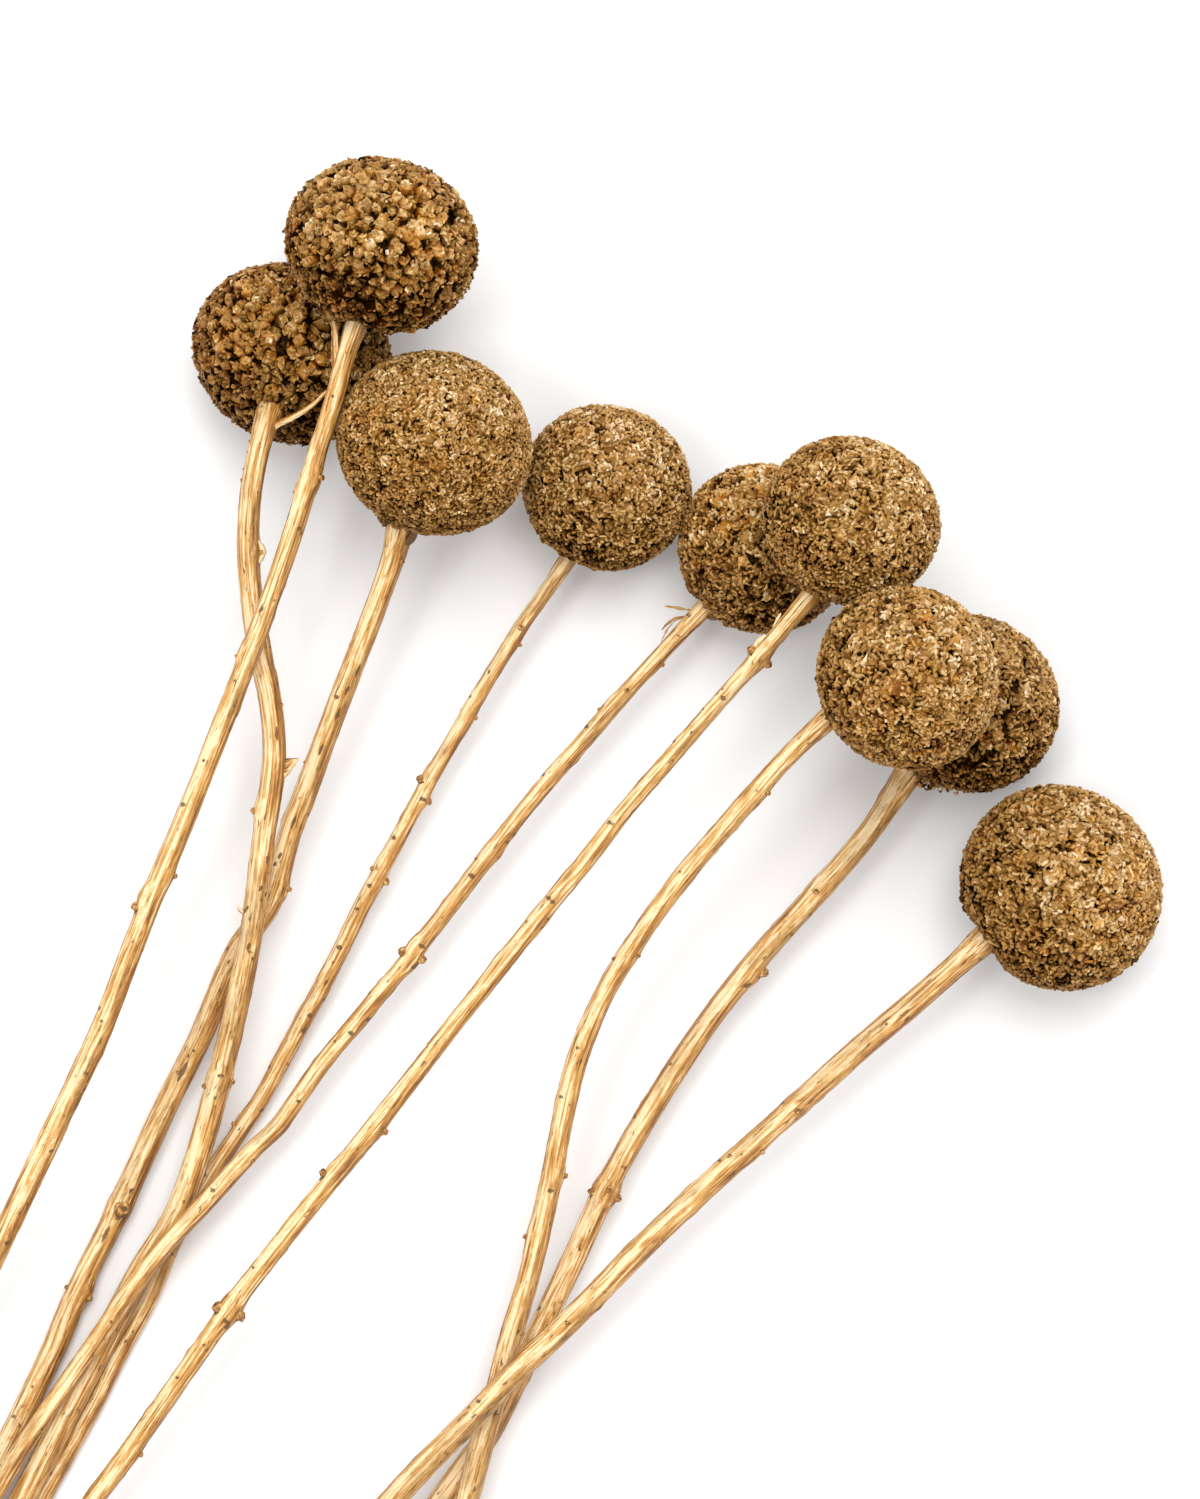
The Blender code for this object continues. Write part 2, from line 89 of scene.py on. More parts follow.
# The nine flowers, from left to right. Their places follow the stems' middle lines and the heads' middles,
# as far as the photograph shows them, and beyond its edge they are guessed.
FLOWERS = (
    Flower(
        head=(381.5, 246, 33.5), across=29.9, along=26.8, base=12.1,
        lump=1.72, relief=0.74, curl=1.10, tone=-0.08, amber=0.45, holes=0.05,
        widths=(2.6, 4.4),
        route=((359, 316, 32.6), (345, 357, 31.6), (336, 392, 30.9), (319.5, 446, 30.0), (291.5, 537, 28.9),
               (249, 656, 27.6), (225, 717, 26.6), (184.5, 820, 24.8), (152.5, 897, 23.3),
               (130.5, 954, 22.2), (101.5, 1030, 20.9), (58.5, 1120, 19.2), (-122, 1499, 13.6),
               (-305, 1870, 8.4), (-545, 2330, 2.05)),
        knots=((474, 1, 0.6), (488, -1, 0.5), (655, -1, 0.5), (874, 1, 0.4), (900, -1, 1.0), (1720, 1, 0.5),
               (2080, -1, 0.6)),
        nubs=((392, 100, 0.45), (474, 28, 1.0), (488, 172, 0.4), (600, 60, 0.4), (655, 168, 0.5),
              (760, 110, 0.4), (874, 15, 0.9), (905, 160, 1.3), (1068, 70, 0.6), (1300, 20, 0.8),
              (1720, 30, 1.0), (2080, 160, 1.0)),
        limbs=((((336, 366, 31.2), (335, 344, 32.2), (334, 326, 32.8), (329, 310, 33.2), (320, 302, 33.4)),
                1.35, 0.6),),
        painted_shadows=(((355, 310, 44.0), 7.0, 0.14),),
        tufts=(((338, 318, 34.5), 0.7, 18), ((328, 308, 35.5), 0.8, 20), ((316, 297, 36.5), 0.8, 20),
               ((376, 321, 34.5), 0.6, 12), ((386, 326, 34.0), 0.5, 10)),
    ),
    Flower(
        head=(293, 353, 14.35), across=31.3, along=25.2, base=12.4,
        lump=1.66, relief=0.72, curl=1.05, tone=-0.09, amber=0.42, holes=0.05,
        widths=(3.4, 4.5),
        route=((269.5, 412, 22.4), (265, 427, 24.6), (259.5, 447, 25.2), (252, 485, 24.6), (248, 546, 23.0),
               (252, 600, 21.6), (261, 658, 20.4), (270, 700, 19.5), (274.5, 749, 18.4), (273, 774, 17.8),
               (265.5, 825, 16.5), (249.5, 945, 13.4), (225.5, 1054, 10.3), (199, 1152, 7.6),
               (177, 1212, 6.1), (141, 1272, 4.6), (22, 1499, 4.5), (-142, 1800, 3.9), (-396, 2290, 2.1)),
        knots=((551, 1, 0.7), (810, -1, 0.7), (1081, 0, 0.6), (1690, -1, 0.6), (2010, 0, 0.3)),
        nubs=((437, 165, 0.4), (448, 160, 0.35), (466, 165, 0.4), (478, 168, 0.5), (551, 20, 1.1),
              (640, 165, 0.4), (700, 20, 0.5), (810, 165, 0.9), (870, 40, 0.4), (1081, 20, 0.9),
              (1083, 150, 0.8), (1200, 80, 0.5), (1690, 150, 1.0), (2010, 30, 1.0)),
        scars=((733, 70, 1.6), (857, 62, 0.9), (885, 80, 0.8), (945, 95, 1.2)),
        limbs=((((264, 432, 24.6), (278, 424, 25.2), (295, 416, 26.0), (311, 406, 27.2), (327, 391, 28.4)),
                1.3, 0.6),
               (((272, 783, 17.1), (284, 772, 17.6), (298, 759, 18.1)), 2.9, 0.35),
               (((272, 766, 17.4), (285, 763, 17.8), (298, 759, 18.1)), 2.6, 0.35),
               (((253, 921, 14.2), (245, 914, 14.6), (238, 908, 15.0)), 1.3, 0.5)),
        strips=((((257, 565, 23.4), (263, 552, 24.0), (258, 540, 24.2)), 1.0, 0.0),
                (((246, 548, 23.0), (240, 546, 23.2), (236, 543, 23.2)), 0.3, 0.2)),
        painted_shadows=(((335, 325, 22.0), 7.0, 0.22),),
    ),
    Flower(
        head=(435, 444, 26.9), across=30.2, along=27.6, base=13.6,
        lump=1.65, relief=0.20, curl=0.64, tone=0.04, amber=0.06, holes=0.0,
        widths=(3.55, 4.1),
        route=((401, 525, 23.6), (394, 555, 22.3), (378.5, 600, 20.6), (347.5, 680.5, 17.7),
               (330.5, 724.5, 16.0), (306, 791, 13.4), (290.5, 832.5, 11.8), (275, 888, 9.9),
               (267.5, 908.5, 9.3), (241, 945, 8.1), (203, 1031, 5.8), (165, 1108.5, 4.1), (121, 1204, 2.7),
               (76.5, 1294, 2.15), (51.5, 1353, 2.05), (-21, 1499, 2.0), (-240, 1880, 2.0),
               (-497, 2310, 2.0)),
        knots=((886, 1, 0.6), (1206, 0, 0.5), (1288, 1, 0.9), (1760, -1, 0.6), (2120, -1, 0.5)),
        nubs=((560, 35, 0.7), (640, 150, 0.45), (760, 160, 0.4), (886, 15, 0.8), (1000, 60, 0.5),
              (1070, 110, 0.6), (1204, 74, 2.2), (1286, 165, 0.7), (1296, 20, 0.9), (1420, 80, 0.6),
              (1760, 150, 1.0), (2120, 160, 0.9)),
        scars=((667, 60, 1.6), (687, 80, 1.4), (711, 79, 1.8), (747, 90, 1.6), (820, 90, 1.8),
               (855, 100, 1.0), (1070, 90, 3.2), (1233, 85, 2.4)),
        strips=((((404, 545, 24.2), (411, 538, 25.4), (416, 529, 26.6)), 1.4, 1.0),
                (((388, 528, 24.0), (382, 521, 25.0), (378, 513, 26.2)), 0.9, 0.8)),
    ),
    Flower(
        head=(606, 489, 12.85), across=26.4, along=25.2, base=11.8,
        lump=1.8, relief=0.26, curl=0.72, tone=0.03, amber=0.06, holes=0.0,
        widths=(2.2, 3.3),
        route=((571, 555, 11.8), (543.5, 595, 11.1), (523, 623.5, 10.6), (486.5, 682.5, 9.6),
               (452.5, 741, 8.6), (421.5, 795, 7.7), (393, 848.5, 6.8), (364, 902.5, 5.9),
               (339.5, 953, 5.1), (286, 1052, 3.6), (262, 1097, 2.9), (236.5, 1136, 2.3), (213, 1171, 1.8),
               (175, 1237, 1.6), (150, 1296, 1.55), (119, 1354, 1.5), (95, 1402, 1.5), (41, 1499, 1.5),
               (-156, 1880, 1.5), (-346, 2265, 1.55)),
        knots=((642, 1, 0.4), (718, 1, 0.4), (776, -1, 0.6), (798, 1, 0.5), (865, -1, 0.4), (881, 1, 0.5),
               (1121, -1, 0.4), (1800, 1, 0.4)),
        nubs=((624, 85, 0.9), (642, 10, 0.6), (718, 15, 0.6), (776, 155, 1.2), (798, 20, 1.0),
              (865, 160, 0.7), (881, 12, 1.1), (960, 100, 0.4), (1060, 30, 0.5), (1121, 160, 0.8),
              (1250, 60, 0.5), (1800, 20, 0.9)),
    ),
    Flower(
        head=(763, 549, 13.05), across=26.9, along=25.8, base=12.3,
        lump=1.8, relief=0.36, curl=0.74, tone=0.07, amber=0.16, holes=0.03,
        widths=(2.4, 3.4),
        route=((709, 603, 12.3), (671.5, 642.5, 12.1), (628.5, 689.5, 11.8), (586.5, 737.5, 11.5),
               (552, 776.5, 11.3), (502, 838, 10.9), (459, 894.5, 10.6), (412, 954.5, 10.3),
               (353, 1026, 9.9), (324.5, 1060.5, 9.75), (296, 1101, 9.6), (278, 1126, 9.5),
               (254, 1149, 9.4), (209, 1199, 9.5), (163, 1248, 9.65), (127, 1296, 9.6), (92, 1347, 9.2),
               (8, 1470, 8.0), (-199, 1850, 6.7), (-441, 2280, 1.6)),
        knots=((663, 1, 0.4), (706, -1, 0.4), (855, 0, 0.3), (947, -1, 0.8), (960, 1, 0.8), (1980, 0, 0.3)),
        nubs=((663, 20, 0.7), (690, 95, 0.7), (706, 165, 0.6), (760, 60, 0.4), (855, 30, 0.6),
              (857, 150, 0.5), (947, 160, 1.4), (960, 15, 1.4), (1040, 120, 0.4), (1160, 40, 0.6),
              (1320, 80, 0.5), (1980, 150, 0.9)),
        strips=((((694, 611, 12.8), (678, 608, 13.0), (664, 606, 13.4)), 0.5, 0.5),
                (((688, 616, 12.6), (675, 619, 13.0), (666, 625, 13.2), (662, 630, 13.0)), 0.55, 0.6),
                (((675, 621, 12.8), (667, 630, 13.0), (661, 642, 12.8)), 0.25, 0.5),
                (((706, 618, 13.0), (716, 617, 13.6), (727, 620, 14.0)), 1.1, 0.7)),
        painted_shadows=(((792, 560, 20.0), 7.0, 0.32), ((786, 594, 17.0), 4.5, 0.34)),
    ),
    Flower(
        head=(851, 521, 35.9), across=26.8, along=25.4, base=12.7,
        lump=1.8, relief=0.26, curl=0.72, tone=0.09, amber=0.06, holes=0.0,
        widths=(2.3, 3.6),
        route=((813, 593, 34.2), (776, 636, 33.0), (759.5, 655.5, 32.1), (716.5, 705, 31.0),
               (670, 758.5, 29.8), (624, 811.5, 28.6), (584, 863, 27.5), (555, 898, 26.8),
               (513.5, 949.5, 25.7), (446, 1035, 23.9), (409, 1082.5, 23.0), (386.5, 1111.5, 22.4),
               (348.5, 1159, 21.4), (315, 1199.5, 20.5), (274.5, 1250.5, 19.5), (233, 1304, 18.4),
               (195, 1358, 17.3), (111.5, 1476, 15.0), (94, 1499.5, 14.5), (-120, 1850, 8.2),
               (-296, 2240, 1.65)),
        knots=((653, 0, 0.7), (662, 1, 0.6), (917, 0, 0.4), (1128, 1, 0.4), (1172, -1, 0.6), (1306, 0, 0.8),
               (1316, 1, 0.6), (1451, 1, 0.4), (1930, -1, 0.4)),
        nubs=((648, 160, 1.3), (662, 15, 1.3), (760, 70, 0.4), (917, 40, 0.5), (919, 140, 0.5),
              (1040, 160, 0.4), (1128, 15, 1.1), (1172, 155, 1.2), (1304, 155, 1.5), (1316, 12, 1.5),
              (1451, 15, 0.8), (1930, 150, 0.8)),
        strips=((((773, 627, 33.4), (777, 620, 34.0), (781, 613, 34.4)), 0.55, 0.0),
                (((753, 648, 32.6), (759, 641, 33.2), (766, 635, 33.6)), 0.9, 0.0)),
    ),
    Flower(
        head=(907, 677, 43.0), across=28.2, along=27.0, base=13.0,
        lump=2.0, relief=0.33, curl=0.76, tone=0.06, amber=0.32, holes=0.005,
        widths=(2.75, 4.3),
        route=((833.5, 713.5, 39.4), (798, 746, 37.2), (759, 788, 34.6), (721, 832, 32.0),
               (685, 873.5, 29.4), (641, 933.5, 26.0), (604, 994.5, 22.8), (578, 1057.5, 19.8),
               (569, 1090, 18.4), (551.5, 1176.5, 15.3), (531, 1268, 12.2), (507, 1351, 10.1),
               (494, 1402, 9.1), (480, 1451, 8.4), (467, 1499, 7.7), (350, 1900, 3.6), (213, 2330, 2.0)),
        knots=((790, 1, 0.4), (954, 0, 0.3), (1173, 1, 0.6), (1236, -1, 0.4), (1780, -1, 0.5),
               (2100, 1, 0.4)),
        nubs=((790, 25, 0.8), (870, 120, 0.4), (954, 30, 0.7), (956, 150, 0.6), (1100, 70, 0.4),
              (1173, 10, 0.9), (1236, 165, 0.8), (1330, 40, 0.5), (1780, 150, 1.0), (2100, 20, 0.8)),
    ),
    Flower(
        head=(969, 703, 13.6), across=27.8, along=27.0, base=13.4,
        lump=1.9, relief=0.38, curl=0.80, tone=-0.09, amber=0.16, holes=0.05,
        widths=(3.55, 4.25),
        route=((910, 771, 12.8), (863.5, 839.5, 11.8), (811, 899.5, 10.9), (758, 958, 9.9),
               (712.5, 1016, 9.0), (656.5, 1100.5, 7.7), (607.5, 1186, 6.4), (575, 1256, 5.5),
               (543, 1323, 4.8), (516, 1379, 4.4), (488, 1434, 4.2), (442, 1499, 3.9), (190, 1930, 2.7),
               (-35, 2330, 2.0)),
        knots=((888, 0, 0.3), (972, 1, 0.9), (1190, 0, 0.9), (1195, 1, 0.4), (1830, 1, 0.6),
               (2140, -1, 0.5)),
        nubs=((888, 100, 0.8), (930, 40, 0.5), (972, 15, 1.5), (1060, 130, 0.5), (1190, 150, 1.1),
              (1197, 20, 1.1), (1186, 80, 0.9), (1300, 60, 0.5), (1390, 120, 0.6), (1830, 30, 1.1),
              (2140, 150, 0.9)),
        painted_shadows=(((985, 720, 24.0), 6.0, 0.12), ((965, 752, 20.0), 5.0, 0.08)),
        tufts=(((920, 773, 14.5), 0.7, 30), ((926, 780, 13.5), 0.6, 26), ((938, 779, 14.5), 0.8, 30),
               ((951, 782, 14.0), 0.8, 26)),
    ),
    Flower(
        head=(1061, 888, 15.85), across=32.4, along=30.4, base=13.8,
        lump=2.1, relief=0.36, curl=0.80, tone=0.02, amber=0.10, holes=0.0,
        widths=(3.9, 4.0),
        route=((990, 935, 15.7), (924.5, 993.5, 15.5), (864.5, 1044.5, 15.3), (805, 1098, 15.1),
               (747.5, 1149.5, 14.9), (692, 1200, 14.8), (642.5, 1247, 14.6), (586, 1305, 14.4),
               (554, 1336, 14.2), (522, 1365, 14.1), (492, 1397, 13.9), (391, 1501, 12.5), (80, 1880, 7.4),
               (-280, 2340, 1.95)),
        knots=((1107, 0, 0.3), (1151, 1, 0.4), (1760, 1, 0.5), (2110, -1, 0.5)),
        nubs=((1020, 100, 0.4), (1107, 75, 0.8), (1151, 30, 0.7), (1153, 130, 0.6), (1240, 50, 0.5),
              (1320, 100, 0.5), (1450, 60, 0.6), (1760, 30, 0.9), (2110, 160, 0.9)),
    ),
)


def spot(place):
    """A place seen in the photograph, with its height in mm, as a real point."""
    across, down, height = place
    nearer = 1.0 - height * MM / EYE_HEIGHT
    x = (across - PHOTO_MIDDLE[0]) * PIXEL * nearer - FOOTPRINT_MIDDLE[0]
    y = (PHOTO_MIDDLE[1] - down) * PIXEL * nearer - FOOTPRINT_MIDDLE[1]
    return np.array([x, y, height * MM])


def unit(vectors):
    """Vectors along the last axis at length 1."""
    return vectors / np.linalg.norm(vectors, axis=-1, keepdims=True)


def full_turn(count):
    """The angles of a ring's points, evenly spaced from 0, in radians."""
    return np.arange(count) * 2.0 * pi / count


def circle(angles, aside, beside):
    """Directions round a circle: the angle's cosine times one direction plus its sine times the other."""
    return np.cos(angles)[..., None] * aside + np.sin(angles)[..., None] * beside


def way_along(points):
    """How far each point of a line is from the first, measured along its chords."""
    return np.append(0.0, np.cumsum(np.linalg.norm(np.diff(points, axis=0), axis=1)))


def smooth_curve(points, at):
    """A smooth curve through the points, read at distances measured along the points' own chords.

    Between two points it is a cubic whose slopes at both ends are the mean of the neighbouring chords.
    """
    reach = way_along(points)
    chords = np.diff(points, axis=0) / np.diff(reach)[:, None]
    slopes = np.vstack([chords[:1], (chords[1:] + chords[:-1]) / 2.0, chords[-1:]])
    span = np.clip(np.searchsorted(reach, at, side="right") - 1, 0, len(points) - 2)
    width = (reach[span + 1] - reach[span])[:, None]
    t = (at - reach[span])[:, None] / width
    rise, fall = slopes[span] * width, slopes[span + 1] * width
    return (points[span] * (2 * t**3 - 3 * t**2 + 1) + rise * (t**3 - 2 * t**2 + t)
            + points[span + 1] * (3 * t**2 - 2 * t**3) + fall * (t**3 - t**2))


def line_frames(centres):
    """Unit directions at each place of a line, square to each other: forward, level to the right, and up."""
    forward = unit(np.gradient(centres, axis=0))
    right = unit(np.cross(UP, forward))
    return forward, right, np.cross(forward, right)


def grid_quads(rows, columns):
    """The quads of a grid of points that closes on itself along its columns, as rows of four numbers."""
    row, column = np.meshgrid(np.arange(rows - 1), np.arange(columns), indexing="ij")
    first = row * columns + column
    second = row * columns + (column + 1) % columns
    return np.stack([first, second, second + columns, first + columns], axis=-1).reshape(-1, 4)


def end_fans(rows, columns):
    """The triangles that close such a grid's first and last rows, each to a point after the grid's own."""
    side = np.arange(columns)
    following = (side + 1) % columns
    last, points = (rows - 1) * columns, rows * columns
    return np.vstack([np.stack([following, side, np.full(columns, points)], axis=1),
                      np.stack([last + side, last + following, np.full(columns, points + 1)], axis=1)])


def closed_rings(count, rows, sides):
    """Faces of many closed forms, each a grid of rings with a point at its top and a flat sole.

    The ring points of all forms come first, form by form, then all the top points.
    """
    start = np.arange(count)[:, None] * rows * sides
    walls = (grid_quads(rows, sides)[None] + start[..., None]).reshape(-1, 4)
    side = np.arange(sides)
    last = (rows - 1) * sides
    top = np.broadcast_to(count * rows * sides + np.arange(count)[:, None], (count, sides))
    caps = np.stack([last + side + start, last + (side + 1) % sides + start, top], axis=-1).reshape(-1, 3)
    fan = np.stack([np.zeros(sides - 2, int), side[2:], side[1:-1]], axis=1)
    soles = (fan[None] + start[..., None]).reshape(-1, 3)
    return [walls, caps, soles]


def join(bodies):
    """One body of several. A body is its points, its faces and its attributes.

    Faces are a list of arrays with three or four point numbers in a row. Attributes are a dictionary of
    arrays with a value or a vector for each point.
    """
    starts = np.cumsum([0] + [len(points) for points, _, _ in bodies])
    faces = [block + start for (_, blocks, _), start in zip(bodies, starts) for block in blocks]
    attributes = {label: np.concatenate([body[2][label] for body in bodies]) for label in bodies[0][2]}
    return np.vstack([points for points, _, _ in bodies]), faces, attributes


def make_piece(name, body, material, smooth):
    """A mesh object of a body, with nothing below the surface that the bunch lies on."""
    points, faces, attributes = body
    points[:, 2] = np.maximum(points[:, 2], LEAST_HEIGHT)
    mesh = bpy.data.meshes.new(name)
    corners = np.concatenate([block.ravel() for block in faces]).astype(np.int32)
    sizes = np.concatenate([np.full(len(block), block.shape[1]) for block in faces])
    starts = np.append(0, np.cumsum(sizes)[:-1])
    mesh.vertices.add(len(points))
    mesh.vertices.foreach_set("co", points.astype(np.float32).ravel())
    mesh.loops.add(len(corners))
    mesh.loops.foreach_set("vertex_index", corners)
    mesh.polygons.add(len(sizes))
    mesh.polygons.foreach_set("loop_start", starts.astype(np.int32))
    mesh.polygons.foreach_set("use_smooth", np.full(len(sizes), smooth))
    for label, values in attributes.items():
        kind, field = ("FLOAT", "value") if values.ndim == 1 else ("FLOAT_VECTOR", "vector")
        mesh.attributes.new(label, kind, "POINT").data.foreach_set(field, values.astype(np.float32).ravel())
    mesh.update(calc_edges=True)
    mesh.validate()
    mesh.materials.append(material)
    piece = bpy.data.objects.new(name, mesh)
    bpy.context.collection.objects.link(piece)
    return piece


# Florets

class Lump(NamedTuple):
    """The form of a head's lumps."""

    rings: tuple    # from the root up: distance from the middle and depth in lump spacings, height in reliefs
    sides: int
    top: float      # height of the middle, in reliefs
    shade: tuple    # paleness of each ring and of the middle
    resin: tuple    # how much of the amber colour shows on each ring and on the middle
    crumple: float  # how irregular it is
    tilt: float     # how far the chips over the lumps turn up


# A coarse head has crowns of folded petals with a pale rim round a hollow. A fine head has plain grains.
# Each lump is painted from dark at its root to pale at its rim: partly the florets' own darker bases, partly
# painted shade in the gaps and in a crown's hollow.
CROWN = Lump(rings=((0.60, -0.30, 0.0), (0.52, 0.0, 0.55), (0.31, 0.0, 1.0)), sides=6, top=0.70,
             shade=(0.0, 0.30, 0.68, 0.50), resin=(1.0, 1.0, 0.25, 0.50), crumple=0.31, tilt=0.16)
GRAIN = Lump(rings=((0.62, -0.30, 0.0), (0.47, 0.0, 0.80)), sides=5, top=1.0,
             shade=(0.0, 0.24, 0.36), resin=(1.0, 0.9, 0.7), crumple=0.17, tilt=0.20)
# The least relief of a coarse head, and the relief at which a head's painted shade in the gaps is darkest.
COARSE_RELIEF = 0.40
DEEPEST_RELIEF = 0.75
# Painted shade in the gaps: how much paler the gaps of a quite even head are painted than those of the
# deepest.
PAINTED_GAP_SHADE = 0.06

# One lump or chip takes up this share of the square of its spacing, as in even close packing.
PACKING = 0.87
LUMP_JITTER = 0.22
CHIP_JITTER = 0.30
# How each lump differs: its size, its lean and the most it leans, its middle's height, and its paleness
# from corner to corner.
LUMP_SIZE = (0.72, 1.30)
LUMP_TILT = 0.34
LUMP_TILT_LIMIT = 0.45
LUMP_TOP = (0.7, 1.2)
LUMP_MOTTLE = 0.11
# How deep a lump's root lies, in reliefs: the least, and what is added at random.
ROOT_DEPTH = 0.75
ROOT_SPREAD = 0.35

# A chip is a bent arc of three-cornered section: radius of the arc and half width of the section, in mm,
# its sweep in radians, and the lump spacing, in mm, of the head whose chips have these sizes.
CHIP_RADIUS = (0.36, 0.76)
CHIP_WIDTH = (0.17, 0.29)
CHIP_SWEEP = (1.2, 2.7)
CHIP_LUMP = 1.6
CHIP_STATIONS = 4
# How uneven a chip's arc is, and in its own widths: its middle's rise, its rise above its ends, its ridge.
CHIP_UNEVEN = 0.25
CHIP_DIP = 0.45
CHIP_RISE = 1.2
CHIP_RIDGE = 1.1
# How far the arc is moved back to lie over its place, in radii.
CHIP_BACK = 0.6
# The paleness of a section's three corners and of the two tips, against the chip's own: a painted highlight
# on the upturned ridge, and painted shade on its sides and at the tips, which dip under.
CORNER_SHADES = (-0.06, 0.12, -0.05)
TIP_SHADE = -0.14
# A chip's own paleness, how much paler it is painted over its lump's middle than over its edge, which is
# painted shade in the gaps between lumps, and its scatter.
CHIP_SHADE = 0.48
CHIP_PAINTED_GAP_SHADE = 0.24
CHIP_SCATTER = 0.08
# Painted glints: chips painted paler at random, their share of all, and how much paler they are.
FINE_PAINTED_GLINTS = (0.03, 0.12)
COARSE_PAINTED_GLINTS = (0.12, 0.30)
# How high chips lie over the lumps. A lump's dome reaches the surface this many spacings from its middle,
# and beyond that chips follow it down to this many reliefs.
CHIP_LIFT = 0.10 * MM
DOME_REACH = 0.62
DOME_LEAST = -0.2
# Chips over amber lumps: the share that are amber, and how strongly.
CHIP_AMBER = (0.6, 0.7)

# The dark core, which stands for the receptacle and is painted nearly black as the shade deep in the gaps:
# its parallels and meridians, its depth in lump spacings and in reliefs, and its paleness.
CORE_GRID = (24, 40)
CORE_DEPTH = (0.42, 0.4)
CORE_PAINTED_SHADE = 0.02
# A head's slight swells: their height and number. The number of waves in a pattern of patches, and its
# strength before it is cut off at 1.
SWELL_HEIGHT = 0.3 * MM
SWELL_WAVES = 3
PATCH_WAVES = 7
PATCH_STRENGTH = 1.4
# Resin gathers in patches of this many waves to a radian, with this scatter.
AMBER_WAVES = 3.0
AMBER_SCATTER = 0.5
# A head's paleness from place to place: waves and strength of its patches, how much darker it is towards
# its base, and its scatter from lump to lump.
TONE_WAVES = 2.0
TONE_PATCHES = 0.10
BASE_DARKER = 0.06
TONE_SCATTER = 0.10
# Painted light and shade: how much paler a head is painted on its lit side, that side's direction, where the
# painted light starts and how far below that the painted shade on the far side goes.
PAINTED_LIGHT_AMOUNT = 0.27
PAINTED_LIGHT_DIRECTION = np.array([0.30, 0.34, 0.89])
PAINTED_LIGHT_EDGE = 0.6
PAINTED_SHADE_LIMIT = -0.5

# Dry bracts round the stem under the head: their number, spread, size against a chip, paleness and scatter.
RUFF_COUNT = 70
RUFF_SPREAD = 0.20
RUFF_SIZE = (1.1, 2.2)
RUFF_SHADE = 0.26
RUFF_SCATTER = 0.1
# Chips of a torn tuft: size against a chip, paleness, scatter, and how much more they turn up than a grain's.
TUFT_SIZE = (0.9, 1.7)
TUFT_SHADE = 0.30
TUFT_SCATTER = 0.15
TUFT_TILT = 2.0


def is_coarse(flower):
    """Whether a flower's lumps stand so high that they are crowns."""
    return flower.relief >= COARSE_RELIEF


def lump_form(flower):
    """The form of a flower's lumps."""
    return CROWN if is_coarse(flower) else GRAIN


def painted_gap_shade(flower):
    """How much paler a head's painted shade in the gaps is than the darkest: more, the lower its relief."""
    return PAINTED_GAP_SHADE * (1.0 - flower.relief / DEEPEST_RELIEF)


def head_axis(flower):
    """The direction from the head's middle to its base, where the stem enters."""
    return unit(spot(flower.route[0]) - spot(flower.head))


def head_surface(flower, out, swells):
    """Points on the head's surface in the given directions.

    The surface is a ball stretched to the head's two sizes and cut off flat at its base. A mean of three
    sine waves in random directions makes it swell slightly.
    """
    axis = head_axis(flower)
    inline = out @ axis
    down = np.minimum(inline * flower.along * MM / 2.0, flower.base * MM)
    sideways = (out - inline[:, None] * axis) * flower.across * MM / 2.0
    rise = SWELL_HEIGHT * np.sin(SWELL_WAVES * out @ swells[:, :3].T + swells[:, 3]).mean(axis=1)
    return spot(flower.head) + sideways + down[:, None] * axis + out * rise[:, None]


def even_directions(area, spacing, jitter, chance):
    """Directions spread evenly over a ball by the golden angle, each moved a little at random.

    Their number is the ball's area over the area that one takes up.
    """
    count = round(area / (PACKING * spacing**2))
    order = np.arange(count) + 0.5
    height = 1.0 - 2.0 * order / count
    turn = GOLDEN_ANGLE * order
    ring = np.sqrt(1.0 - height**2)
    evenly = np.stack([ring * np.cos(turn), ring * np.sin(turn), height], axis=1)
    return unit(evenly + chance.normal(0.0, jitter * (4.0 * pi / count) ** 0.5, evenly.shape))


def patches(out, seed, waves):
    """A smooth random pattern over a ball from -1 to 1: a mean of sine waves in random directions."""
    chance = np.random.default_rng(seed)
    directions = unit(chance.normal(size=(PATCH_WAVES, 3))) * waves
    phases = chance.uniform(0.0, 2.0 * pi, PATCH_WAVES)
    return np.clip(PATCH_STRENGTH * np.sin(out @ directions.T + phases).mean(axis=1), -1.0, 1.0)


def turned_frames(upward, chance):
    """Two random unit directions square to each upward direction and to each other."""
    aside = unit(np.cross(upward, unit(chance.normal(size=upward.shape))))
    return aside, np.cross(upward, aside)


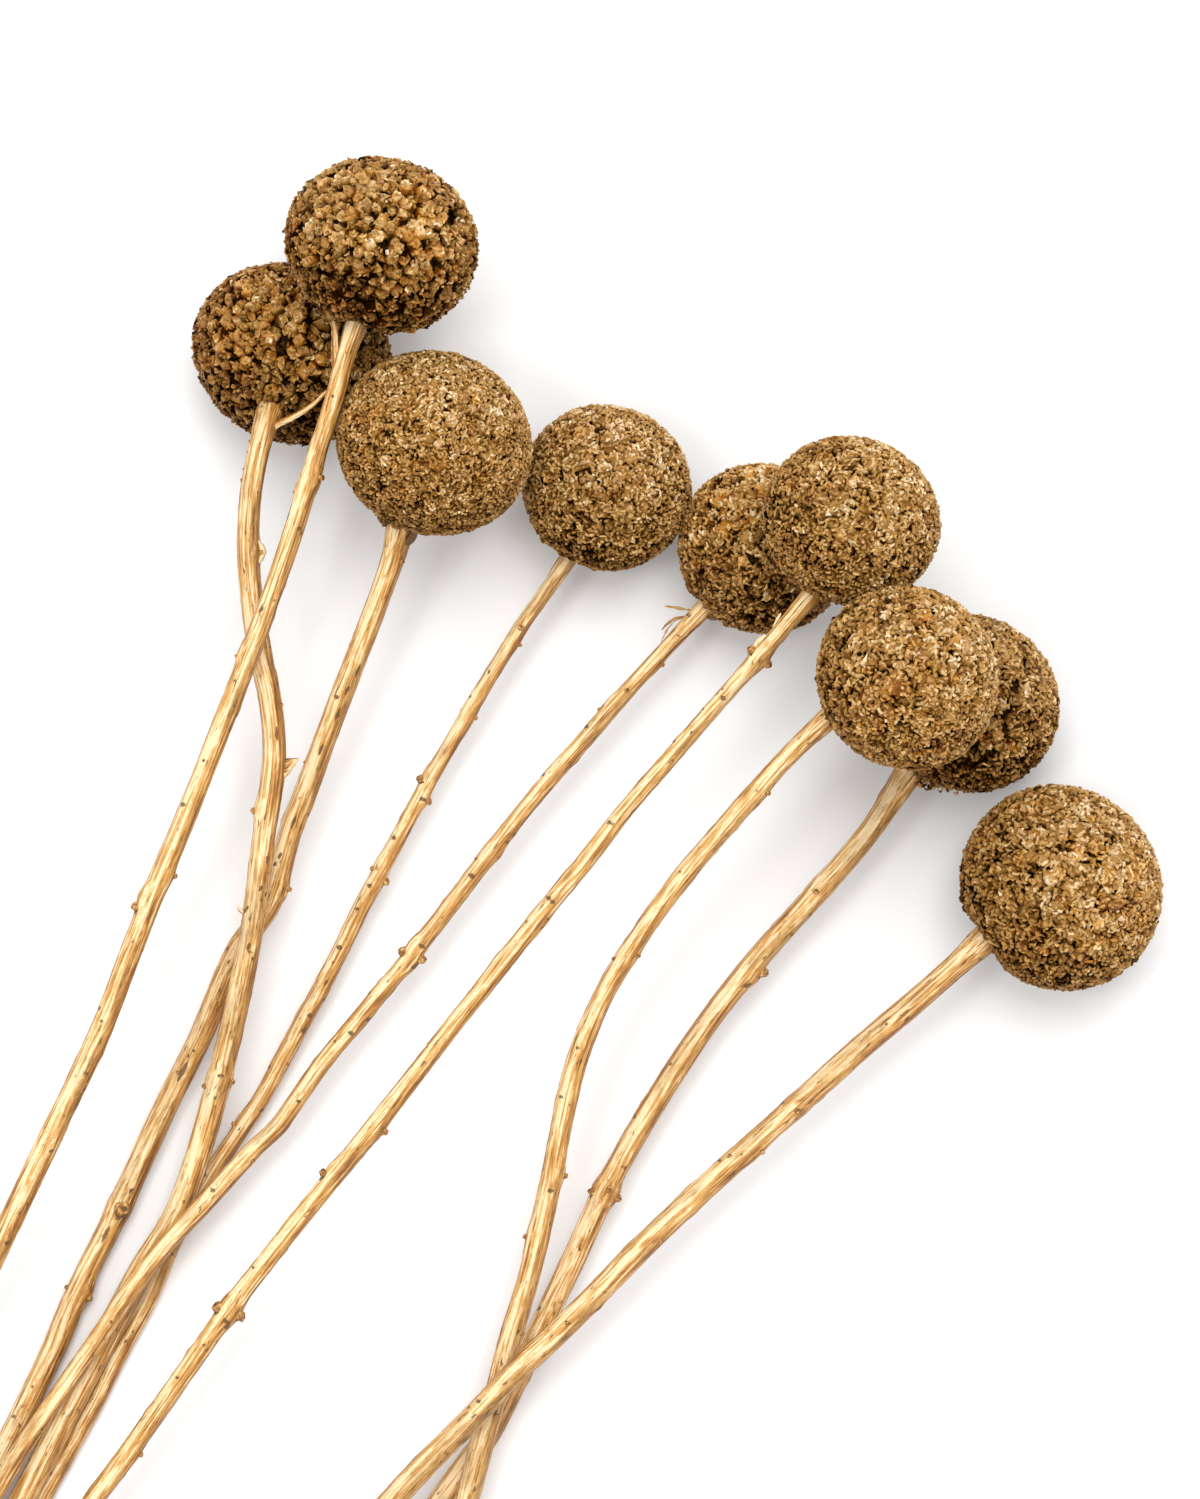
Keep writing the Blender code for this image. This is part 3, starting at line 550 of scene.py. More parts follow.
def lump_body(flower, out, roots, shade, amber, chance):
    """Crumpled lumps that stand on the surface and run into their neighbours.

    Each is a stack of rings, with every point of a ring moved outwards and upwards a little at random.
    """
    form = lump_form(flower)
    count, sides = len(out), form.sides
    spacing = flower.lump * MM
    relief = flower.relief * MM
    rings = np.array(form.rings)
    size = chance.uniform(*LUMP_SIZE, count)
    lean = np.clip(chance.normal(0.0, LUMP_TILT, out.shape), -LUMP_TILT_LIMIT, LUMP_TILT_LIMIT)
    upward = unit(out + lean)
    aside, beside = turned_frames(upward, chance)
    around = circle(full_turn(sides), aside[:, None], beside[:, None])
    reach = rings[:, 0][None, :, None] * spacing * size[:, None, None]
    reach = reach * (1.0 + chance.normal(0.0, form.crumple, (count, len(rings), sides)))
    lift = (rings[:, 1] * spacing + rings[:, 2] * relief)[None, :, None]
    lift = lift + chance.normal(0.0, form.crumple, reach.shape) * relief
    points = (roots[:, None, None] + reach[..., None] * around[:, None] +
              lift[..., None] * upward[:, None, None])
    tops = roots + (relief * form.top * chance.uniform(*LUMP_TOP, count))[:, None] * upward
    bright = np.array(form.shade)[None] + shade[:, None]
    # The root ring is painted dark as shade in the gaps, less so on a shallow head.
    bright[:, 0] += painted_gap_shade(flower)

    def each(values):
        """A value for each ring and the middle of each lump, given to all their points."""
        return np.concatenate([np.repeat(values[:, :-1], sides, axis=1).ravel(), values[:, -1]])

    tint = np.repeat(chance.random(count)[:, None], len(form.shade), axis=1)
    mottled = each(bright)
    mottled = mottled + chance.normal(0.0, LUMP_MOTTLE, mottled.shape)
    attributes = {"shade": mottled, "tint": each(tint), "amber": each(amber[:, None] * form.resin)}
    return np.vstack([points.reshape(-1, 3), tops]), closed_rings(count, len(rings), sides), attributes


def chip_body(out, centres, size, tilt, shade, amber, chance):
    """Curled papery chips.

    Each is an arc of a circle with a three-cornered section. It narrows to a point at both ends, and its
    middle rises above its ends.
    """
    count = len(out)
    upward = unit(out + chance.normal(0.0, tilt, out.shape))
    aside, beside = turned_frames(upward, chance)
    radius = (chance.uniform(*CHIP_RADIUS, count) * size)[:, None] * MM
    width = (chance.uniform(*CHIP_WIDTH, count) * size)[:, None] * MM
    sweep = chance.uniform(*CHIP_SWEEP, count)[:, None]
    share = np.linspace(0.0, 1.0, CHIP_STATIONS)[None]
    arch = np.sin(pi * share)
    radius = radius * (1.0 + CHIP_UNEVEN * chance.normal(size=(count, CHIP_STATIONS)))
    outward = circle(sweep * (share - 0.5), aside[:, None], beside[:, None])
    lift = (arch - CHIP_DIP) * width * CHIP_RISE
    line = centres[:, None] + (outward - CHIP_BACK * aside[:, None]) * radius[..., None] + (
        lift[..., None] * upward[:, None])
    half = (width * arch**0.5)[:, 1:-1, None]
    ridge = upward[:, None] * half * CHIP_RIDGE
    middle, across = line[:, 1:-1], outward[:, 1:-1] * half
    sections = np.stack([middle + across, middle + ridge, middle - across], axis=2)
    inner = CHIP_STATIONS - 2
    corners = inner * 3 + 2
    points = np.concatenate([sections.reshape(count, inner * 3, 3), line[:, [0, -1]]], axis=1)
    first, final, last = corners - 2, corners - 1, (inner - 1) * 3
    tips = np.array([[first, (side + 1) % 3, side] for side in range(3)] +
                    [[final, last + side, last + (side + 1) % 3] for side in range(3)])
    start = np.arange(count)[:, None, None] * corners
    faces = [(block[None] + start).reshape(-1, block.shape[1]) for block in (grid_quads(inner, 3), tips)]
    # Painted highlight on each chip's ridge, and painted shade on its sides and tips.
    bright = shade[:, None] + np.array([*CORNER_SHADES * inner, TIP_SHADE, TIP_SHADE])[None]
    return points.reshape(-1, 3), faces, {
        "shade": bright.ravel(), "tint": np.repeat(chance.random(count), corners),
        "amber": np.repeat(amber, corners)}


def ruff_body(flower, swells, chance):
    """Dry bracts scattered over the head's base, round the stem."""
    out = unit(head_axis(flower) + chance.normal(0.0, RUFF_SPREAD, (RUFF_COUNT, 3)))
    size = chance.uniform(*RUFF_SIZE, RUFF_COUNT)
    return chip_body(out, head_surface(flower, out, swells), size, GRAIN.tilt,
                     RUFF_SHADE + chance.normal(0.0, RUFF_SCATTER, RUFF_COUNT), np.zeros(RUFF_COUNT), chance)


def tuft_body(flower, tuft, chance):
    """A torn tuft: chips scattered round a place at the head's base, facing away from the head's middle."""
    place, spread, count = tuft
    centres = spot(place) + chance.normal(0.0, spread * MM, (count, 3))
    out, size = unit(centres - spot(flower.head)), chance.uniform(*TUFT_SIZE, count)
    return chip_body(out, centres, size, TUFT_TILT * GRAIN.tilt,
                     TUFT_SHADE + chance.normal(0.0, TUFT_SCATTER, count), np.zeros(count), chance)


def core_ball(flower, swells):
    """The dark ball under the lumps, painted nearly black as the shade deep in the gaps: a grid of parallels
    and meridians, with both poles closed.
    """
    rows, columns = CORE_GRID
    axis = head_axis(flower)
    aside = unit(np.cross(axis, UP + 0.01))
    rim = circle(full_turn(columns), aside, np.cross(axis, aside))
    down = np.linspace(0.0, pi, rows + 2)[1:-1]
    directions = np.vstack([circle(down[:, None], axis, rim[None]).reshape(-1, 3), axis, -axis])
    points = head_surface(flower, directions, swells)
    points = points - directions * (CORE_DEPTH[0] * flower.lump + CORE_DEPTH[1] * flower.relief) * MM
    faces = [grid_quads(rows, columns)[:, ::-1], end_fans(rows, columns)[:, [1, 0, 2]]]
    # The core is painted nearly black as the shade deep in the gaps.
    dark = np.zeros(len(points))
    return points, faces, {"shade": dark + CORE_PAINTED_SHADE + painted_gap_shade(flower), "tint": dark, "amber": dark}


def head_body(flower, seed):
    """One head: a dark core, crumpled lumps packed over it, curled chips over those, a ruff and tufts."""
    chance = np.random.default_rng(seed)
    swells = np.hstack([unit(chance.normal(size=(SWELL_WAVES, 3))),
                        chance.uniform(0.0, 2.0 * pi, (SWELL_WAVES, 1))])
    area = 4.0 * pi * ((2.0 * flower.across + flower.along) / 6.0)**2

    out = even_directions(area, flower.lump, LUMP_JITTER, chance)
    amber = patches(out, seed + 1, AMBER_WAVES) + chance.normal(0.0, AMBER_SCATTER, len(out))
    amber = (amber > np.quantile(amber, 1.0 - flower.amber)).astype(float)
    present = chance.random(len(out)) > flower.holes
    depth = (ROOT_DEPTH + chance.uniform(0.0, ROOT_SPREAD, len(out))) * flower.relief * MM
    roots = head_surface(flower, out, swells) - out * depth[:, None]
    # Painted light and shade: each head is paler towards its lit side and darker away from it.
    painted_sides = np.maximum(out @ PAINTED_LIGHT_DIRECTION - PAINTED_LIGHT_EDGE, PAINTED_SHADE_LIMIT)
    tone = (flower.tone + TONE_PATCHES * patches(out, seed + 2, TONE_WAVES) -
            BASE_DARKER * out @ head_axis(flower) + PAINTED_LIGHT_AMOUNT * painted_sides +
            chance.normal(0.0, TONE_SCATTER, len(out)))
    # Painted shadows where a neighbouring head lies over this one.
    for place, radius, darker in flower.painted_shadows:
        away = np.linalg.norm(roots - spot(place), axis=1) / (radius * MM)
        tone = tone - darker * np.exp(-away**2)
    lumps = lump_body(flower, out[present], roots[present], tone[present], amber[present], chance)

    where = even_directions(area, flower.curl, CHIP_JITTER, chance)
    nearest = np.argmax(where @ out.T, axis=1)
    where, nearest = where[present[nearest]], nearest[present[nearest]]
    surface = head_surface(flower, where, swells)
    gap = np.linalg.norm(surface - head_surface(flower, out[nearest], swells), axis=1)
    nearness = np.clip(1.0 - (gap / (DOME_REACH * flower.lump * MM))**2, DOME_LEAST, 1.0)
    dome = nearness * flower.relief * MM
    # Painted glints: a share of the chips is painted paler.
    share, pale = COARSE_PAINTED_GLINTS if is_coarse(flower) else FINE_PAINTED_GLINTS
    # Chips are painted darker towards the gaps between lumps, as painted shade.
    bright = (CHIP_SHADE + CHIP_PAINTED_GAP_SHADE * (nearness - 0.5) + tone[nearest] +
              chance.normal(0.0, CHIP_SCATTER, len(where)) + pale * (chance.random(len(where)) < share))
    size = np.full(len(where), flower.lump / CHIP_LUMP)
    centres = surface + where * (dome - depth[nearest] + CHIP_LIFT)[:, None]
    resin = CHIP_AMBER[1] * amber[nearest] * (chance.random(len(where)) < CHIP_AMBER[0])
    chips = chip_body(where, centres, size, lump_form(flower).tilt, bright, resin, chance)
    ruff = ruff_body(flower, swells, chance)
    tufts = [tuft_body(flower, tuft, chance) for tuft in flower.tufts]
    return join([core_ball(flower, swells), lumps, chips, ruff] + tufts)


# Stems

# How far each stem goes up into its head, the half length of a knot, and a drawn stem's width against the
# width given, because its ribs stand out from it.
SOCKET_DEPTH = 4.0 * MM
KNOT_LENGTH = 2.2 * MM
STEM_FIT = 0.97
STEM_SIDES = 20
STEM_STEP = 0.85 * MM
# How far a stem swells under its head, and over what length.
FLARE = 0.26
FLARE_LENGTH = 4.5 * MM
# A stem's uneven thickness: its share of the radius, and how far apart along the stem.
UNEVEN = 0.035
UNEVEN_STEP = 8.0 * MM
# Relief of a stem's skin: height, length of a cell along the stem, and cells round it. The height of its
# finest roughness.
FIBRES = ((0.055 * MM, 16.0 * MM, 7), (0.035 * MM, 7.0 * MM, 11))
ROUGHNESS = 0.018 * MM
# Patches of raised bark: share, length of a cell and cells round the stem of two patterns. Bark starts where
# their sum passes the edge, and grows to its full height this steeply.
BARK_PATCHES = ((0.62, 30.0 * MM, 6), (0.38, 6.0 * MM, 10))
BARK_EDGE = 0.34
BARK_STEEPNESS = 8.0
BARK_HEIGHT = 0.07 * MM
# Small bumps of the skin: how far apart along the stem, their height and their breadth. How steep a bump
# and its dark scar are along the stem against across it, how many breadths further on the scar lies, and
# how dark it is.
BUMP_SPACING = 4.0 * MM
BUMP_HEIGHT = (0.05 * MM, 0.22 * MM)
BUMP_BREADTH = (0.35 * MM, 0.8 * MM)
BUMP_ALONG = 0.6
BUMP_SCAR_ALONG = 1.2
BUMP_SCAR_OFFSET = 1.2
BUMP_SCAR_MARK = 0.8
# A knot: its height against the one given, on one side or all round, how steep its bell is, and how far
# the middle of a knot on one side is turned up, in radians.
KNOT_ONE_SIDE = 0.60
KNOT_ALL_ROUND = 0.45
KNOT_STEEPNESS = 1.4
KNOT_TURN = 0.35
# The broken dark line below a knot: how dark and how steep it is, how far on it lies in half knots, the
# length of its pieces and how many go round the stem, and how soon they are full.
KNOT_MARK = 0.7
KNOT_MARK_STEEPNESS = 14.0
KNOT_MARK_OFFSET = 0.55
KNOT_GAPS = (1.5 * MM, 7)
KNOT_MARK_FULL = 1.6
# A nub's rings: distance from its middle and height, in its own widths. Its middle's height, how far it
# leans up the stem, how uneven its rings are outwards and upwards, and the bark on it.
NUB_RINGS = ((0.62, -0.45), (0.56, 0.10), (0.50, 0.36), (0.34, 0.50))
NUB_TOP = 0.44
NUB_SIDES = 9
NUB_LEAN = 0.35
NUB_UNEVEN = (0.10, 0.05)
NUB_BARK = 0.25
# How dark a nub's rings and its hollow top are.
NUB_MARKS = (0.7, 0.1, 0.0, 0.25)
NUB_TOP_MARK = 0.9
# The dark leaf scar under a nub: how far on and how broad in nub widths, and how dark.
LEAF_SCAR_OFFSET = 0.7
LEAF_SCAR_BREADTH = 0.6
LEAF_SCAR_MARK = 0.85
# A slit: half its breadth, its half length against the length given, its depth and how dark it is.
SLIT_BREADTH = 0.32 * MM
SLIT_LENGTH = 0.75
SLIT_DEPTH = 0.12 * MM
SLIT_MARK = 0.95
CUT_END_MARK = 0.4
# The middle of the painted highlight along a stem's lit side, in degrees round it from its right side.
PAINTED_HIGHLIGHT_TURN = 114.0
# How far apart the stems lie in the measure that their patterns read, in mm, so that none is like another.
GRAIN_SHIFT = 37.0

TWIG_SIDES = 10
TWIG_STEP = 0.4 * MM
TWIG_STATIONS = 6
TWIG_UNEVEN = 0.07
# A papery strip: its thickness, least number of stations, half width at its ends and what its middle adds,
# how uneven its edges are and within what limits, how pale it is and the least mark on it, both against
# its brownness.
STRIP_THICKNESS = 0.16 * MM
STRIP_STATIONS = 8
STRIP_WIDTHS = (0.25, 0.75)
STRIP_UNEVEN = 0.22
STRIP_LIMITS = (0.4, 1.6)
STRIP_PALE = 1.3
STRIP_MARKS = (0.35, 1.0)


def cell_noise(along, angles, step, cells, chance):
    """Smooth random relief over a stem: random values on a grid of cells, joined by eased slopes.

    The grid closes on itself round the stem.
    """
    count = int(along[-1] / step) + 3
    values = chance.uniform(-1.0, 1.0, (count, cells))
    row = along / step
    column = np.mod(angles / (2.0 * pi), 1.0) * cells
    top, left = row.astype(int), column.astype(int) % cells
    down, over = row - top, column - np.floor(column)
    down, over = (down * down * (3.0 - 2.0 * down))[:, None], (over * over * (3.0 - 2.0 * over))[None]
    right = (left + 1) % cells
    upper = values[top][:, left] * (1.0 - over) + values[top][:, right] * over
    lower = values[top + 1][:, left] * (1.0 - over) + values[top + 1][:, right] * over
    return upper * (1.0 - down) + lower * down


def bump_pattern(along, angles, radius, chance):
    """Small bumps scattered over a stem: its added radius, and the dark scar at the foot of each.

    Each bump is a bell of the distance from its middle, and its scar a second bell a little further on.
    """
    count = int(along[-1] / BUMP_SPACING)
    at, turn = chance.uniform(0.0, along[-1], count), chance.uniform(0.0, 2.0 * pi, count)
    height, breadth = chance.uniform(*BUMP_HEIGHT, count), chance.uniform(*BUMP_BREADTH, count)
    sideways = 2.0 * radius[None, :, None] * np.sin((angles[None, None] - turn[:, None, None]) / 2.0)
    lengthways = along[None, :, None] - at[:, None, None]
    breadth = breadth[:, None, None]
    bells = np.exp(-((sideways / breadth)**2 + (BUMP_ALONG * lengthways / breadth)**2))
    scars = np.exp(-((sideways / breadth)**2 +
                     (BUMP_SCAR_ALONG * lengthways / breadth - BUMP_SCAR_OFFSET)**2))
    return (height[:, None, None] * bells).sum(axis=0), scars.max(axis=0)


def tube_body(centres, radii, seed):
    """A tube along a line of centres, with its own radius at each place, closed at both ends.

    Its grain attribute is the place in the stem's own straight measure in mm: across, across and along.
    Its painted highlight attribute is the cosine of the turn from the middle of the painted highlight on the
    lit side.
    """
    rows, sides = radii.shape
    _, right, above = line_frames(centres)
    angles = full_turn(sides)
    skin = centres[:, None] + circle(angles, right[:, None], above[:, None]) * radii[..., None]
    along = way_along(centres)
    grain = np.stack([np.cos(angles) * radii, np.sin(angles) * radii,
                      np.broadcast_to(along[:, None], radii.shape)], axis=-1).reshape(-1, 3)
    grain = np.vstack([grain, [[0.0, 0.0, 0.0], [0.0, 0.0, along[-1]]]]) / MM + GRAIN_SHIFT * seed
    # Painted highlight along the stem's lit side.
    sunny = np.append(np.broadcast_to(np.cos(angles - radians(PAINTED_HIGHLIGHT_TURN)), radii.shape).ravel(), [0.0, 0.0])
    points = np.vstack([skin.reshape(-1, 3), centres[:1], centres[-1:]])
    return points, [grid_quads(rows, sides), end_fans(rows, sides)], {
        "grain": grain, "mark": np.zeros(len(grain)), "bark": np.zeros(len(grain)), "sunny": sunny}


def limb_line(places, least):
    """A smooth line through a twig's places, how far along it each of its points is, and its length."""
    points = np.array([spot(place) for place in places])
    length = np.linalg.norm(np.diff(points, axis=0), axis=1).sum()
    along = np.linspace(0.0, length * 0.999, max(round(length / TWIG_STEP), least))
    return smooth_curve(points, along), along, length


def twig_body(limb, seed, chance):
    """A thin side twig: a tapering tube through its places."""
    places, root_width, tip_width = limb
    centres, along, _ = limb_line(places, TWIG_STATIONS)
    radii = np.linspace(root_width, tip_width, len(along))[:, None] * MM / 2.0
    radii = radii * (1.0 + TWIG_UNEVEN * chance.normal(size=(len(along), TWIG_SIDES)))
    return tube_body(centres, radii, seed)


def strip_body(strip, seed, chance):
    """A flat papery strip, widest in its middle: a tube with an oval section, through its places.

    The radius of an oval at an angle is 1 / sqrt((cos / half width)^2 + (sin / half thickness)^2).
    """
    places, width, brown = strip
    centres, along, length = limb_line(places, STRIP_STATIONS)
    half = width * MM / 2.0 * (STRIP_WIDTHS[0] + STRIP_WIDTHS[1] * np.sin(pi * along / length))
    half = half * (1.0 + STRIP_UNEVEN * chance.normal(size=len(along))).clip(*STRIP_LIMITS)
    angles = full_turn(TWIG_SIDES)
    across = (np.cos(angles)[None] / half[:, None])**2 + (np.sin(angles)[None] / (STRIP_THICKNESS / 2.0))**2
    body = tube_body(centres, 1.0 / np.sqrt(across), seed)
    points, _, attributes = body
    attributes["bark"][:] = brown
    # A strip's own paleness goes into the attribute that carries a stem's painted highlight.
    attributes["sunny"][:] = STRIP_PALE * (1.0 - brown)
    attributes["mark"][:] = brown * chance.uniform(*STRIP_MARKS, len(points))
    return body


def nub_body(centre, out, forward, width, seed, chance):
    """A short blunt nub where a leaf or twig has come off: a stack of rings with a hollow top."""
    out = unit(out - NUB_LEAN * forward)
    aside = unit(np.cross(out, forward))
    around = circle(full_turn(NUB_SIDES), aside, np.cross(out, aside))
    rings = np.array(NUB_RINGS) * width
    reach = rings[:, 0][:, None] * (1.0 + chance.normal(0.0, NUB_UNEVEN[0], (len(rings), NUB_SIDES)))
    lift = rings[:, 1][:, None] + width * chance.normal(0.0, NUB_UNEVEN[1], reach.shape)
    points = centre + reach[..., None] * around[None] + lift[..., None] * out
    points = np.vstack([points.reshape(-1, 3), centre + NUB_TOP * width * out])
    mark = np.append(np.repeat(NUB_MARKS, NUB_SIDES), NUB_TOP_MARK)
    return points, closed_rings(1, len(rings), NUB_SIDES), {
        "grain": points / MM + GRAIN_SHIFT * seed, "mark": mark, "bark": NUB_BARK + np.zeros(len(points)),
        "sunny": np.zeros(len(points))}


def column_at(turn):
    """Which of a stem's columns of points is nearest to a turn in degrees."""
    return round(turn / 360.0 * STEM_SIDES) % STEM_SIDES


def stem_skin(flower, along, angles, chance):
    """A plain stem's radii, dark marks and bark.

    Its radius is the taper and a flare under the head, times a slow unevenness, plus fibres, bark and bumps.
    """
    top, foot = flower.widths
    radius = (top + (foot - top) * np.sqrt(along / along[-1])) * MM / 2.0
    flare = FLARE * np.exp(-((along - SOCKET_DEPTH) / FLARE_LENGTH)**2)
    radius = radius * (1.0 + flare) * STEM_FIT
    radii = radius[:, None] * (1.0 + UNEVEN * cell_noise(along, angles * 0.0, UNEVEN_STEP, 1, chance))
    for height, step, cells in FIBRES:
        radii = radii + height * cell_noise(along, angles, step, cells, chance)
    bark = sum(share * cell_noise(along, angles, step, cells, chance) for share, step, cells in BARK_PATCHES)
    bark = np.clip((bark - BARK_EDGE) * BARK_STEEPNESS, 0.0, 1.0)
    bumps, scars = bump_pattern(along, angles, radius, chance)
    return radii + BARK_HEIGHT * bark + bumps, BUMP_SCAR_MARK * scars, bark


def stem_body(flower, seed):
    """One stem with its knots, nubs, slits, twigs and strips.

    Each knot adds a rounded swelling to the radius and each slit takes off a narrow one, both bells of the
    distance from their middles.
    """
    chance = np.random.default_rng(seed)
    points = np.array([spot(place) for place in flower.route])
    points = np.vstack([points[0] - unit(points[1] - points[0]) * SOCKET_DEPTH, points])
    downs = np.array([place[1] for place in flower.route], float)
    reach = way_along(points)
    along = np.linspace(0.0, reach[-1], round(reach[-1] / STEM_STEP))
    centres = smooth_curve(points, along)
    forward, right, above = line_frames(centres)
    angles = full_turn(STEM_SIDES)

    def way_to(down):
        """How far along the stem it crosses a photo y."""
        return np.interp(down, downs, reach[1:])

    radii, mark, bark = stem_skin(flower, along, angles, chance)
    for down, side, height in flower.knots:
        distance = (along - way_to(down)) / KNOT_LENGTH
        facing = np.maximum(side * np.cos(angles - side * KNOT_TURN), 0.0)**2 if side else np.ones(STEM_SIDES)
        swelling = np.exp(-KNOT_STEEPNESS * distance**2)[:, None] * facing[None]
        radii = radii + (KNOT_ONE_SIDE if side else KNOT_ALL_ROUND) * height * MM * swelling
        broken = np.clip(KNOT_MARK_FULL * cell_noise(along, angles, *KNOT_GAPS, chance), 0.0, 1.0)
        line = np.exp(-KNOT_MARK_STEEPNESS * (distance - KNOT_MARK_OFFSET)**2)
        mark = np.maximum(mark, KNOT_MARK * line[:, None] * facing[None] * broken)
    radii = radii + ROUGHNESS * chance.normal(size=radii.shape)

    nubs = []
    for down, turn, width in flower.nubs:
        column = column_at(turn)
        row = int(np.searchsorted(along, way_to(down)))
        out = cos(radians(turn)) * right[row] + sin(radians(turn)) * above[row]
        at = way_to(down + out[1] * radii[row, column] / PIXEL)
        row = int(np.searchsorted(along, at))
        root = centres[row] + out * radii[row, column]
        nubs.append(nub_body(root, out, forward[row], width * MM, seed, chance))
        breadth = LEAF_SCAR_BREADTH * width * MM
        distance = np.hypot((along - at - LEAF_SCAR_OFFSET * width * MM)[:, None] / breadth,
                            np.sin((angles - radians(turn)) / 2.0)[None] * radii * 2.0 / breadth)
        mark = np.maximum(mark, LEAF_SCAR_MARK * np.exp(-distance**2))

    for down, turn, length in flower.scars:
        lengthways = (along - way_to(down))[:, None] / (SLIT_LENGTH * length * MM)
        sideways = np.sin((angles - angles[column_at(turn)]) / 2.0)[None] * radii * 2.0 / SLIT_BREADTH
        slit = np.exp(-lengthways**2 - sideways**2)
        mark = np.maximum(mark, SLIT_MARK * slit)
        radii = radii - SLIT_DEPTH * slit

    skin = tube_body(centres, radii, seed)
    skin[2]["mark"][:mark.size] = mark.ravel()
    skin[2]["bark"][:bark.size] = bark.ravel()
    skin[2]["mark"][-1] = CUT_END_MARK
    twigs = [twig_body(limb, seed, chance) for limb in flower.limbs]
    strips = [strip_body(strip, seed, chance) for strip in flower.strips]
    return join([skin] + twigs + strips + nubs)


# Materials

def linear(hex_colour):
    """An sRGB hex colour as linear red, green, blue and 1."""
    parts = [int(hex_colour[i:i + 2], 16) / 255.0 for i in (1, 3, 5)]
    return tuple(p / 12.92 if p <= 0.04045 else ((p + 0.055) / 1.055) ** 2.4 for p in parts) + (1.0,)


def plug(node, links):
    """Set or link a node's inputs. Each value is plain, or a (node, output) pair to link.

    An input goes by its name with _ for spaces, or by i and its number where several have one name.
    """
    for label, value in links.items():
        numbered = label[0] == "i" and label[1:].isdigit()
        socket = node.inputs[int(label[1:]) if numbered else label.replace("_", " ")]
        if isinstance(value, tuple) and isinstance(value[0], bpy.types.Node):
            node.id_data.links.new(value[0].outputs[value[1]], socket)
        else:
            socket.default_value = value


def add_node(material, kind, settings=None, **links):
    """Add a shader node, set its plain settings, and set or link its inputs."""
    node = material.node_tree.nodes.new(kind)
    for label, value in (settings or {}).items():
        setattr(node, label, value)
    plug(node, links)
    return node


def set_ramp(node, stops):
    """Give a colour ramp its stops: (place from 0 to 1, sRGB hex colour)."""
    ramp = node.color_ramp
    while len(ramp.elements) < len(stops):
        ramp.elements.new(0.5)
    for element, (place, colour) in zip(ramp.elements, stops):
        element.position = place
        element.color = linear(colour)


def new_material(name):
    """An empty material, its shader, which is linked to the output, and the function that adds its nodes."""
    material = bpy.data.materials.new(name)
    material.use_nodes = True
    return material, material.node_tree.nodes["Principled BSDF"], partial(add_node, material)


# Settings of the nodes that add, multiply and mix.
MULTIPLY = {"operation": "MULTIPLY"}
MULTIPLY_ADD = {"operation": "MULTIPLY_ADD"}
MAXIMUM = {"operation": "MAXIMUM"}
MIX = {"data_type": "RGBA"}
TINT = {"data_type": "RGBA", "blend_type": "MULTIPLY"}

# Dried petals are papery tan. The dark brown end is painted shade in the gaps, partly the florets' own dark
# bases, and the near white end is the pale rims, partly their own paleness and partly painted glints and
# light.
PAPER = ((0.0, "#160b03"), (0.18, "#563913"), (0.40, "#8f6931"), (0.66, "#ba9459"), (0.86, "#d4ba8a"),
         (1.0, "#ecdcc0"))
# Their resin is a clear amber that has set over the lumps.
RESIN = ((0.0, "#2a1402"), (0.25, "#7c4606"), (0.55, "#b07a1c"), (1.0, "#dcb764"))
# Dust tints the paper in patches of this size in mm.
DUST = "#e0c8a4"
DUST_SIZE = 6.0
# The crumple of the paper in mm. The real one is finer than a render's pixel and is drawn this coarse.
FINE_CRUMBS = 0.5
COARSE_CRUMBS = 0.8
# How far the crumple lightens and darkens the paper, how high it stands, and a floret's own lightness.
SPECKLE = 0.6
CRUMB_HEIGHT = 0.14 * MM
FLORET_TONES = (0.80, 1.15)
PAPER_ROUGHNESS = 0.38
# How strongly pale paper shines, and what amber adds to that.
PAPER_GLOSS = 0.28
RESIN_GLOSS = 0.6


